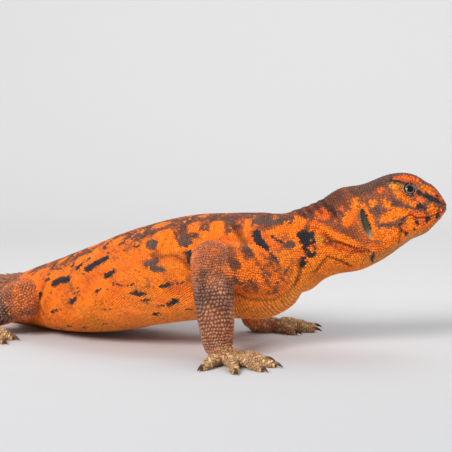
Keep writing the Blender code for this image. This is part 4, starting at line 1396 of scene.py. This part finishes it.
def mix_colours(tree, blend_type, factor, first, second):
    """The output that mixes two colours; a mix node's colours are inputs 6 and 7 and output 2."""
    node = add_node(tree, "ShaderNodeMix", {"Factor": factor}, data_type="RGBA", blend_type=blend_type)
    tree.links.new(first, node.inputs[6])
    tree.links.new(second, node.inputs[7])
    return node.outputs[2]


def horny(name, rough, grain_mm, bump, gloss=0.3):
    """Keratin in the colour of each scale: a little mottled, unevenly rough, with a fine grain."""
    material, tree, shader = new_material(name, {"Specular IOR Level": gloss})
    colour = add_node(tree, "ShaderNodeAttribute", attribute_name="Tint")
    mottle = noise_node(tree, grain_mm * 2.2).outputs["Fac"]
    spread = map_range(tree, mottle, 0.3, 0.7, 0.78, 1.14)
    mixed = mix_colours(tree, "MULTIPLY", 1.0, colour.outputs["Color"], spread)
    tree.links.new(mixed, shader.inputs["Base Color"])
    sheen = map_range(tree, mottle, 0.3, 0.7, rough - 0.08, rough + 0.12)
    tree.links.new(sheen, shader.inputs["Roughness"])
    grain = noise_node(tree, grain_mm, 3.0)
    lift = add_node(tree, "ShaderNodeBump", {"Strength": bump, "Distance": grain_mm * MM * 0.3})
    tree.links.new(grain.outputs["Fac"], lift.inputs["Height"])
    tree.links.new(lift.outputs["Normal"], shader.inputs["Normal"])
    return material


def materials():
    """The finishes by a short name, made once."""
    if "materials" not in STATE:
        STATE["materials"] = {
            # Small scales of body and tail: satin, which gives each a soft light along its edge
            "scales": horny("keratin_scales_satin", 0.50, 0.25, 0.35),
            # Beads of the legs: glossy, which gives each a bright point
            "tubercles": horny("keratin_tubercles_glossy", 0.3, 0.3, 0.3, 0.5),
            # Plates of head, fingers and toes: dry, so that their edges show more than any shine
            "plates": horny("keratin_plates_dry", 0.52, 0.3, 0.4),
            # Hide between the scales: matt, so that it stays dark and the scales stand out; its colour
            # carries painted shade
            "skin": horny("hide_matte", 0.72, 0.3, 0.6),
            # Claws: polished horn, with a long highlight down each
            "claw": horny("claw_horn_polished", 0.26, 0.5, 0.1),
            # Eyes: wet and dark, with one sharp glint
            "eye": eye_material(),
        }
    return STATE["materials"]


def eye_material():
    """A wet dark eye: black pupil, brown iris with a thin golden edge, darker rim."""
    values = {"Roughness": 0.14, "Specular IOR Level": 0.3, "Coat Weight": 0.2, "Coat Roughness": 0.05}
    material, tree, shader = new_material("eye_wet", values)
    ring = add_node(tree, "ShaderNodeAttribute", attribute_name="Ring")
    ramp = add_node(tree, "ShaderNodeValToRGB")
    stops = ((0.0, "#030303"), (0.24, "#040303"), (0.31, "#22140D"), (0.365, "#957658"), (0.395, "#5C402C"),
             (0.45, "#1C100A"), (0.6, "#100907"), (1.0, "#0A0706"))
    elements = ramp.color_ramp.elements
    while len(elements) < len(stops):
        elements.new(0.5)
    for element, (at, shade) in zip(elements, stops):
        element.position = at
        element.color = (*linear(shade), 1)
    tree.links.new(ring.outputs["Fac"], ramp.inputs["Fac"])
    streak = noise_node(tree, 0.25).outputs["Fac"]
    mixed = mix_colours(tree, "OVERLAY", 0.35, ramp.outputs["Color"], streak)
    tree.links.new(mixed, shader.inputs["Base Color"])
    return material


class LIZARD_OT_skin(bpy.types.Operator):
    """Builds the one skin that stands for every part of flesh"""

    bl_idname = "lizard.skin"
    bl_label = "Skin"

    def execute(self, context):
        skin = make_skin()
        STATE["skin"], STATE["tree"], STATE["roots"] = skin, tree_of(skin), []
        dress(skin, materials()["skin"])
        flesh = [name for name in frame["nodes"] if not name.startswith("eye")]
        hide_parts(*flesh)
        return {"FINISHED"}


def off_features(s, side):
    """Where the head's rows leave room for eyes, ears, nostrils and lips."""
    per = degree_mm(s)
    eye = np.hypot(s - EYE_AT, (side - EYE_ANGLE) * per) < 2.9
    slope = math.radians(EAR_SLOPE)
    tall = (side - EAR_AT[1]) * per
    ear = (np.abs(s - EAR_AT[0] - tall * math.sin(slope)) < 1.35) & (np.abs(tall) < EAR_TALL + 0.5)
    nostril = np.hypot(s - NOSTRIL_AT[0], (side - NOSTRIL_AT[1]) * per) < 0.85
    lips = (s < 15.4) & (np.abs(side - curve(MOUTH_LINE)(s)) * per < 1.05)
    return ~(eye | ear | nostril | lips)


class LIZARD_OT_trunk_scales(bpy.types.Operator):
    """Lays small scales in rows over back and flanks, and tiles under the belly"""

    bl_idname = "lizard.trunk_scales"
    bl_label = "Trunk scales"

    def execute(self, context):
        domed = template(6, 0.74, 0.3, 0.86, 0.06)
        pitch = size_mm("trunk_scale")
        size = (pitch * 1.27, pitch * 1.1, 0.26)
        for number, (word, sign) in enumerate((("right", 1), ("left", -1))):
            for part, low, high in TRUNK_PARTS:
                def keep(s, side, cosine, sign=sign):
                    return (side > BELLY_EDGE) & (cosine * sign > 0)
                lay_body(f"back_scales_{part}_{word}", domed, low, high, pitch, size, keep, 5 + number,
                         "scales", "skin_body", wander=0.5)
        pitch = size_mm("belly_scale")
        size = (pitch * 1.27, pitch * 1.1, 0.22)
        lay_body("belly_scales", template(6, 0.8, 0.2, 0.72, 0.05), NECK_END, FIRST_WHORL, pitch, size,
                 lambda s, side, cosine: side <= BELLY_EDGE, 9, "scales", "skin_body", wander=0.3)
        return {"FINISHED"}


class LIZARD_OT_neck_scales(bpy.types.Operator):
    """Lays granular scales over the neck and finer ones under the throat"""

    bl_idname = "lizard.neck_scales"
    bl_label = "Neck scales"

    def execute(self, context):
        pitch = size_mm("neck_scale")
        lay_body("neck_scales", template(6, 0.7, 0.3, 0.95, 0.08), CROWN_END, NECK_END, pitch,
                 (pitch * 1.25, pitch * 1.1, 0.3),
                 lambda s, side, cosine: (side > THROAT_EDGE[1][-1]) & off_features(s, side), 8,
                 "scales", "skin_body", wander=0.9, scatter_by=0.09)
        pitch = size_mm("throat_scale")
        lay_body("throat_scales", template(6, 0.78, 0.25, 0.8, 0.06), 1.2, NECK_END, pitch,
                 (pitch * 1.25, pitch * 1.1, 0.2),
                 lambda s, side, cosine: (side <= throat_edge(s)) & off_features(s, side), 10,
                 "scales", "skin_head", wander=0.5)
        return {"FINISHED"}


def throat_edge(s):
    """The angle under which the throat's fine scales begin."""
    return np.interp(s, *THROAT_EDGE)


class LIZARD_OT_head_scales(bpy.types.Operator):
    """Lays plates over the head, small scales on the lids and a row along each lip"""

    bl_idname = "lizard.head_scales"
    bl_label = "Head scales"

    def execute(self, context):
        pitch = size_mm("head_scale")
        plate = template(6, 0.76, 0.12, 0.82, 0.03)
        for word, low, high, ratio, seed in (("snout", 0.3, SNOUT_END, 1.12, 12),
                                             ("crown", SNOUT_END, CROWN_END, 0.95, 13)):
            wide = pitch * ratio
            lay_body(f"{word}_plates", plate, low, high, wide, (wide * 1.24, wide * 1.12, 0.26),
                     lambda s, side, cosine: (side > throat_edge(s)) & off_features(s, side), seed,
                     "plates", "skin_head", wander=1.6, scatter_by=0.13)
        self.lips(plate)
        bead = template(6, 0.6, 0.1, 1.0, 0.0)
        self.lids(bead)
        self.nostril_rims(bead)
        return {"FINISHED"}

    def lips(self, plate):
        """Oblong plates above and below the mouth line."""
        rng = np.random.default_rng(21)
        turn_at = curve(MOUTH_LINE)
        coat = Coat()
        for side in (1, -1):
            for offset in (0.62, -0.62):
                s = np.arange(0.9, 15.2, 0.82) + (0.2 if offset < 0 else 0)
                angle = angle_on(side, turn_at(s) + offset / degree_mm(s))
                points, outward, lie = skin_frames(s, angle, -ROOT_SUNK)
                coat.add(points, outward, lie, (1.0, 0.86, 0.36), body_tints(s, angle, rng), unwrap(s, angle))
        lay("lip_scales", plate, coat, "plates", rng, 0.5)

    def lids(self, bead):
        """Rings of small scales round each eye, the inmost pale and finest."""
        rng = np.random.default_rng(22)
        shades = palette()
        coat = Coat()
        # Half width, half height, height over the eye's centre, scale size, share of the pale colour
        rows = ((1.94, 1.58, 1.64, 0.32, 0.75), (2.2, 1.85, 1.62, 0.35, 0.2), (2.58, 2.24, 1.42, 0.46, 0.05),
                (3.0, 2.7, 1.12, 0.56, 0.0))
        for side in (1, -1):
            centre, outward, backward = eye_place(side)
            top = outward.cross(backward).normalized()
            top = top if top.z > 0 else -top
            for row, (wide, high, lift, size, share) in enumerate(rows):
                count = int(math.pi * (wide + high) / (size * 0.95))
                turn = 2 * math.pi * (np.arange(count) + 0.5 * (row % 2)) / count
                level, steep = np.cos(turn), np.sin(turn)
                radial = np.outer(level, backward) + np.outer(steep, top)
                points = np.array(centre + outward * lift) + np.outer(wide * level, backward)
                points = points + np.outer(high * steep, top)
                ways = unit(np.array(outward) + radial * (0.15 + 0.3 * row))
                around = np.cross(radial, np.array(outward))
                s = EYE_AT + wide * 1.2 * level
                angle = EYE_ANGLE + high * 1.2 * steep / degree_mm(s)
                tints = blend(body_tints(s, angle_on(side, angle), rng), shades["lid"], share)
                places = np.stack([0.25 + 0.25 * side + 0.06 * wide * level, 0.5 + 0.06 * wide * steep], 1)
                coat.add(points, ways, around, (size * 1.1, size * 1.05, 0.26), tints, places)
        lay("lid_scales", bead, coat, "plates", rng, 0.9, 0.03, 0.05, False)

    def nostril_rims(self, bead):
        """A ring of small scales round each nostril."""
        rng = np.random.default_rng(23)
        shades = palette()
        coat = Coat()
        for side in (1, -1):
            here, outward, backward = one_frame(NOSTRIL_AT[0], angle_on(side, NOSTRIL_AT[1]))
            top = outward.cross(backward).normalized()
            turn = np.array(full_turn(8))
            level, steep = np.cos(turn), np.sin(turn)
            points = np.array(here) + 0.68 * (np.outer(level, backward) + np.outer(steep, top))
            outward, backward, tints = (np.tile(value, (8, 1)) for value in
                                        (outward, backward, blend(shades["ember"], shades["mauve"], 0.5)))
            places = np.stack([0.5 + 0.3 * side + 0.1 * level, 0.5 + 0.1 * steep], 1)
            coat.add(points, outward, backward, (0.5, 0.5, 0.3), tints, places)
        lay("nostril_scales", bead, coat, "plates", rng, 0.6, 0.03, 0.05, False)


class LIZARD_OT_fringes(bpy.types.Operator):
    """Sets rows of pointed scales before the ears and along the neck's folds"""

    bl_idname = "lizard.fringes"
    bl_label = "Ear and neck fringes"

    def execute(self, context):
        rng = np.random.default_rng(31)
        shades = palette()
        coat = Coat()
        for side in (1, -1):
            for back, length, wide, count in ((23.75, 0.8, 0.56, 19), (23.2, 0.7, 0.6, 17)):
                angle = np.linspace(-21, 26, count)
                slant = (angle - EAR_AT[1]) * float(degree_mm(EAR_AT[0])) * math.sin(math.radians(EAR_SLOPE))
                size = (length, wide, 0.5)
                self.add(coat, back + slant, angle, side, 8.0, 0.3, size, shades["orange"], rng)
            for path, length, colour in ((FOLDS[0][0], 0.95, "orange"), (FOLDS[1][0], 0.7, None)):
                line = np.array([(at, turn) for at, turn in path], float)
                along = np.linspace(0, 1, 30)
                knots = np.linspace(0, 1, len(line))
                s, angle = (np.interp(along, knots, column) for column in line.T)
                size = (length, 0.55, 0.36)
                self.add(coat, s, angle, side, 55.0, 0.2, size, colour and shades[colour], rng)
        lay("fringe_scales", spine_template(), coat, "scales", rng, 0.9, 0.08, 0.08, False)
        return {"FINISHED"}

    def add(self, coat, s, angle, side, slant, lift, size, colour, rng):
        """Pointed scales that stand off the skin, turned down by slant degrees."""
        on = angle_on(side, angle)
        points, outward, lie = skin_frames(s, on, -0.2)
        down = np.cross(outward, lie)
        down = np.where((down[:, 2:] > 0), -down, down)
        turn = math.radians(slant)
        way = unit(lie * math.cos(turn) + down * math.sin(turn) + outward * lift)
        normal = unit(outward - way * np.sum(outward * way, 1, keepdims=True))
        tints = np.tile(colour, (len(s), 1)) if colour is not None else body_tints(s, on, rng)
        coat.add(points, normal, way, size, tints, unwrap(s, on))


def whorl_start(k):
    """Where a ring of the tail begins; the rings come closer towards the tip."""
    return FIRST_WHORL + (TAIL_TIP - 1.5 - FIRST_WHORL) * (1 - (1 - k / WHORLS) ** WHORL_SHRINK)


class LIZARD_OT_tail_spines(bpy.types.Operator):
    """Sets rings of keeled spines round the tail, with small scales between them"""

    bl_idname = "lizard.tail_spines"
    bl_label = "Tail spines"

    def execute(self, context):
        rng = np.random.default_rng(41)
        longest = size_mm("tail_spine")
        shades = palette()
        coat, small = Coat(), Coat()
        for k in range(WHORLS):
            here, after = whorl_start(k), whorl_start(k + 1)
            width = after - here
            around = 2 * math.pi * float((half_width(here) + half_height(here)) / 2)
            count = int(np.clip(around / 2.05, 14, 30))
            angle = (np.arange(count) + 0.5 * (k % 2)) * 360 / count
            high = np.sin(np.radians(angle))
            # Longest on the sides, shorter on top, short where the tail lies on the floor
            reach = longest * (half_width(here) + 2.5) / 13 * min(1.0, 0.4 + (here - FIRST_WHORL) / 30)
            below = reach * np.maximum(0.25, 0.8 + 2.2 * (high + 0.2))
            reach = np.where(high < -0.2, below, reach * (1 - 0.32 * np.maximum(high, 0)))
            s = np.full(count, here + 0.48 * width)
            points, outward, lie = skin_frames(s, angle, -0.25)
            span = (0.36 * width + 0.87 * reach) / 0.6
            size = np.stack([span, np.full(count, around / count * 1.02), 0.45 + 0.5 * reach], 1)
            tints = body_tints(s, angle, rng)
            tips = blend(tints, shades["hand"], 0.25)
            coat.add(points, outward, lie, size, tips, self.place(k + 0.5, angle))
            for row, place in enumerate((0.06, 0.22)):
                n = int(around / 0.95)
                turn = (np.arange(n) + 0.5 * row) * 360 / n
                at = np.full(n, here + place * width)
                points, outward, lie = skin_frames(at, turn, -ROOT_SUNK)
                small.add(points, outward, lie, (1.15, 0.95, 0.36), body_tints(at, turn, rng) * 0.85,
                          self.place(k + 0.3 * row, turn))
        lay("tail_spines", spine_template(), coat, "scales", rng, 0.9, 0.04)
        lay("tail_scales", template(6, 0.68, 0.3, 0.9), small, "scales", rng, 0.9, 0.04)
        return {"FINISHED"}

    def place(self, whorl, angle):
        """Places on the tail's bake map: whorls along, angles round."""
        return np.stack([np.full(len(angle), 0.03 + 0.94 * whorl / WHORLS), 0.02 + 0.96 * angle / 375], 1)


class LIZARD_OT_leg_scales(bpy.types.Operator):
    """Lays keeled scales over the legs and plates over hands, feet, fingers and toes"""

    bl_idname = "lizard.leg_scales"
    bl_label = "Leg scales"

    def execute(self, context):
        leg_pitch, toe_pitch = size_mm("leg_scale"), size_mm("toe_scale")
        keeled = template(6, 0.5, 0.45, 1.1, 0.16)
        knob = template(6, 0.64, 0.2, 1.0, 0.05)
        ringed = template(6, 0.72, 0.35, 0.9, 0.08)
        for word, kind, under, seed in (("fore", "hand", "palm", 51), ("hind", "foot", "sole", 52)):
            rng = np.random.default_rng(seed)
            upper, lower, toes = Coat(), Coat(), Coat()
            for plan in leg_plans():
                if plan["kind"] != kind:
                    continue
                side, direction = plan["side"], plan["palm"][1]
                self.limb(upper, plan["limbs"][0], leg_pitch, 0.34, rng)
                self.limb(lower, plan["limbs"][1], leg_pitch, 0.38, rng)
                self.rows(toes, side, under, *palm_line(plan["palm"], 14), direction, toe_pitch, rng, 0.03)
                for digit, finger in enumerate(plan["fingers"]):
                    centres, radii = finger_line(finger, int(finger[2] / (toe_pitch * 0.76)))
                    pairs, shelf = [(r, r) for r in radii], 0.15 + 0.16 * digit
                    self.rows(toes, side, kind, centres, pairs, finger[1], toe_pitch, rng, shelf, 1.5)
            lay(f"{word}_upper_leg_scales", keeled, upper, "tubercles", rng, 0.55, 0.1, 0.1)
            lay(f"{word}_lower_leg_scales", knob, lower, "tubercles", rng, 0.55, 0.14, 0.1)
            lay(f"{word}_toe_plates", ringed, toes, "plates", rng, 0.55)
        return {"FINISHED"}

    def limb(self, coat, part, pitch, height, rng):
        """Rows of scales round one part of a leg, flatter on its inner side."""
        points, outward, lie, places, pitches = part.roots(pitch, -ROOT_SUNK, rng)
        right = np.array(frames([FORE_AT if part.kind in FRONT_LEGS else HIND_AT])[2][0]) * part.side
        outer = outward @ right * 0.8 + outward[:, 2] * 0.5
        heights = height * pitches * (1 + 0.3 * np.clip(outer, -1, 1))
        size = np.stack([pitches * 1.36, pitches * 1.2, heights], 1)
        coat.add(points, outward, lie, size, limb_tints(part.kind, outer, places[:, 0], points, rng), places)

    def rows(self, coat, side, kind, centres, radii, direction, pitch, rng, shelf, broad=1.0):
        """Rings of plates along a palm or a finger, broad times as wide as they are apart.

        Shelf is where its strip begins on the bake map.
        """
        across = direction.cross(UP).normalized()
        points, outward, places = [], [], []
        for k, (centre, (wide, high)) in enumerate(zip(centres, radii)):
            around = math.pi * (wide + high)
            count = max(int(round(around / (pitch * broad))), 5)
            for j in range(count):
                a = 2 * math.pi * (j + 0.5 * (k % 2)) / count
                points.append(centre + across * (math.cos(a) * wide) + UP * (math.sin(a) * high))
                outward.append((across * math.cos(a) / wide + UP * (math.sin(a) / high)).normalized())
                places.append((shelf + 0.005 * k, (0.02 if side > 0 else 0.5) + 0.45 * j / count))
        points, outward = np.array(points), np.array(outward)
        tints = limb_tints(kind, outward[:, 2], np.zeros(len(points)), points, rng)
        size = (pitch * 1.22, pitch * 1.14, 0.34) if broad == 1 else (pitch * 1.0, pitch * 1.14 * broad, 0.25)
        coat.add(points, outward, np.tile(direction, (len(points), 1)), size, tints, np.array(places))


class LIZARD_OT_claws(bpy.types.Operator):
    """Builds the curved claws"""

    bl_idname = "lizard.claws"
    bl_label = "Claws"

    def execute(self, context):
        rng = np.random.default_rng(61)
        points, ways, places = [], [], []
        for number, plan in enumerate(leg_plans()):
            for digit, (knuckle, way, length) in enumerate(plan["fingers"]):
                points.append((*(knuckle + way * (length - CLAW_ROOT)).xy, 0))
                ways.append(way)
                places.append((0.1 + 0.2 * number, 0.1 + 0.2 * digit))
        up, size, tint = (np.tile(value, (len(points), 1)) for value in
                          ((0.0, 0.0, 1.0), (CLAW_LENGTH, 0.8, 0.84), palette()["claw"]))
        roots = [np.array(points, float), up, np.array(ways), size, tint, np.array(places)]
        dress(scatter("claws", claw_template(), roots, rng, 0.0, 0.0), materials()["claw"])
        return {"FINISHED"}


class LIZARD_OT_eyes(bpy.types.Operator):
    """Builds the two wet eyes, each a ball with a raised cornea"""

    bl_idname = "lizard.eyes"
    bl_label = "Eyes"

    def execute(self, context):
        for side, name in ((1, "eye_right"), (-1, "eye_left")):
            centre, outward, _ = eye_place(side)
            mesh = bmesh.new()
            bmesh.ops.create_uvsphere(mesh, u_segments=40, v_segments=28, radius=1.0)
            turn = UP.rotation_difference(outward).to_matrix()
            ring = []
            for vert in mesh.verts:
                off = math.acos(max(-1, min(1, vert.co.z)))  # angle from the middle of the pupil
                ring.append(off / math.pi * 2)
                bulge = 1.0 + 0.035 * math.exp(-((off / 0.75) ** 2))
                vert.co = world(centre + turn @ (vert.co * EYE_RADIUS * 0.985 * bulge))
            made = object_of(name + "_wet", mesh)
            layer = made.data.attributes.new("Ring", "FLOAT", "POINT")
            layer.data.foreach_set("value", np.asarray(ring, np.float32))
            dress(made, materials()["eye"])
            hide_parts(name)
        return {"FINISHED"}


class LIZARD_OT_stage(bpy.types.Operator):
    """Sets up the pale sweep, soft lights, world and camera"""

    bl_idname = "lizard.stage"
    bl_label = "Stage"

    def execute(self, context):
        self.sweep()
        self.lights(context)
        self.camera(context)
        context.scene.view_settings.view_transform = "Standard"
        return {"FINISHED"}

    def sweep(self):
        """A floor that curves up into a backdrop."""
        start, bend, top, half = 0.35, 0.3, 1.4, 1.4
        profile = [(-1.2, 0.0), (start, 0.0)]
        profile += [(start + bend * math.sin(a), bend - bend * math.cos(a))
                    for a in np.radians(np.arange(6, 91, 6))]
        profile.append((0.65, top))
        mesh = bmesh.new()
        rows = [[mesh.verts.new((x, y, z)) for y, z in profile] for x in (-half, half)]
        for k in range(len(profile) - 1):
            mesh.faces.new((rows[0][k], rows[1][k], rows[1][k + 1], rows[0][k + 1]))
        bmesh.ops.recalc_face_normals(mesh, faces=mesh.faces)
        made = object_of("sweep", mesh)
        made.data.materials.append(self.paper())

    def paper(self):
        """Matt paper, darker near the camera and lighter towards the backdrop, so the ground looks as even as
        in the photograph: painted shade where the key lights the floor most, painted light further back.
        """
        material, tree, shader = new_material("paper_matte", {"Roughness": 0.85, "Specular IOR Level": 0.2})
        place = add_node(tree, "ShaderNodeTexCoord")
        split = add_node(tree, "ShaderNodeSeparateXYZ")
        ramp = add_node(tree, "ShaderNodeValToRGB")
        for element, shade in zip(ramp.color_ramp.elements, ("#BDBDBE", "#D4D3D3")):
            element.color = (*linear(shade), 1)
        tree.links.new(place.outputs["Object"], split.inputs["Vector"])
        tree.links.new(map_range(tree, split.outputs["Y"], -0.16, 0.1), ramp.inputs["Fac"])
        tree.links.new(ramp.outputs["Color"], shader.inputs["Base Color"])
        return material

    def lights(self, context):
        """A large soft key from the front left, a fill, a rim from behind and a pale world."""
        sky = bpy.data.worlds.new("soft_world")
        sky.use_nodes = True
        background = sky.node_tree.nodes["Background"]
        background.inputs["Color"].default_value = (0.93, 0.96, 1.0, 1)
        background.inputs["Strength"].default_value = 0.42
        context.scene.world = sky
        aim = Vector((0.04, -0.02, 0.03))
        for name, place, size, power in (("key", (-0.35, -0.75, 0.6), 0.4, 10.3),
                                         ("fill", (0.7, -0.6, 0.35), 0.8, 3.0),
                                         ("rim", (0.3, 0.35, 0.8), 0.6, 2.4)):
            light = bpy.data.lights.new(name, "AREA")
            light.energy = power
            light.size = size
            lamp = link(name, light)
            lamp.location = place
            lamp.visible_glossy = name == "key"  # one glint in the eye
            lamp.rotation_euler = (aim - lamp.location).to_track_quat("-Z", "Y").to_euler()

    def camera(self, context):
        """The photograph's view: from the right side, a little above, as wide as the forequarters."""
        camera = bpy.data.cameras.new("camera")
        made = link("camera", camera)
        snout = world(skin_points([0.3], [0.0])[0])
        aim = Vector((snout.x - 0.0655, -0.0284, 0.0378))
        tilt, distance, wide = math.radians(5.0), 0.43, 0.1356
        way = Vector((0, -math.cos(tilt), math.sin(tilt)))
        made.location = aim + way * distance
        made.rotation_euler = (-way).to_track_quat("-Z", "Y").to_euler()
        camera.sensor_width = 36
        camera.lens = 36 * distance / wide
        camera.clip_start = 0.01
        context.scene.camera = made


class LIZARD_PT_panel(bpy.types.Panel):
    """The lizard's parts, in the order that they are built in"""

    bl_idname = "LIZARD_PT_panel"
    bl_label = "Lizard"
    bl_space_type = "VIEW_3D"
    bl_region_type = "UI"
    bl_category = "Lizard"

    def draw(self, context):
        """Shows the sizes, the colours and a button for each piece or group."""
        for group in (context.scene.lizard_sizes, context.scene.lizard_colours):
            for name in group.__annotations__:
                self.layout.prop(group, name)
        for operator in OPERATORS:
            self.layout.operator(operator.bl_idname)


OPERATORS = (LIZARD_OT_skin, LIZARD_OT_trunk_scales, LIZARD_OT_neck_scales, LIZARD_OT_head_scales,
             LIZARD_OT_fringes, LIZARD_OT_tail_spines, LIZARD_OT_leg_scales, LIZARD_OT_claws, LIZARD_OT_eyes,
             LIZARD_OT_stage)
CLASSES = (LizardSizes, LizardColours, *OPERATORS, LIZARD_PT_panel)


def register():
    """Registers the classes and the scene's sizes and colours."""
    for cls in CLASSES:
        bpy.utils.register_class(cls)
    bpy.types.Scene.lizard_sizes = bpy.props.PointerProperty(type=LizardSizes)
    bpy.types.Scene.lizard_colours = bpy.props.PointerProperty(type=LizardColours)


def unregister():
    """Takes back what register did."""
    del bpy.types.Scene.lizard_sizes
    del bpy.types.Scene.lizard_colours
    for cls in reversed(CLASSES):
        bpy.utils.unregister_class(cls)


def main():
    """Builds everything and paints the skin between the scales."""
    register()
    for operator in OPERATORS:
        group, name = operator.bl_idname.split(".")
        result = getattr(getattr(bpy.ops, group), name)()
        if "FINISHED" not in result:
            raise RuntimeError(f"{operator.bl_label} didn't finish")
    paint_skin(STATE["skin"])


if __name__ == "__main__":
    main()
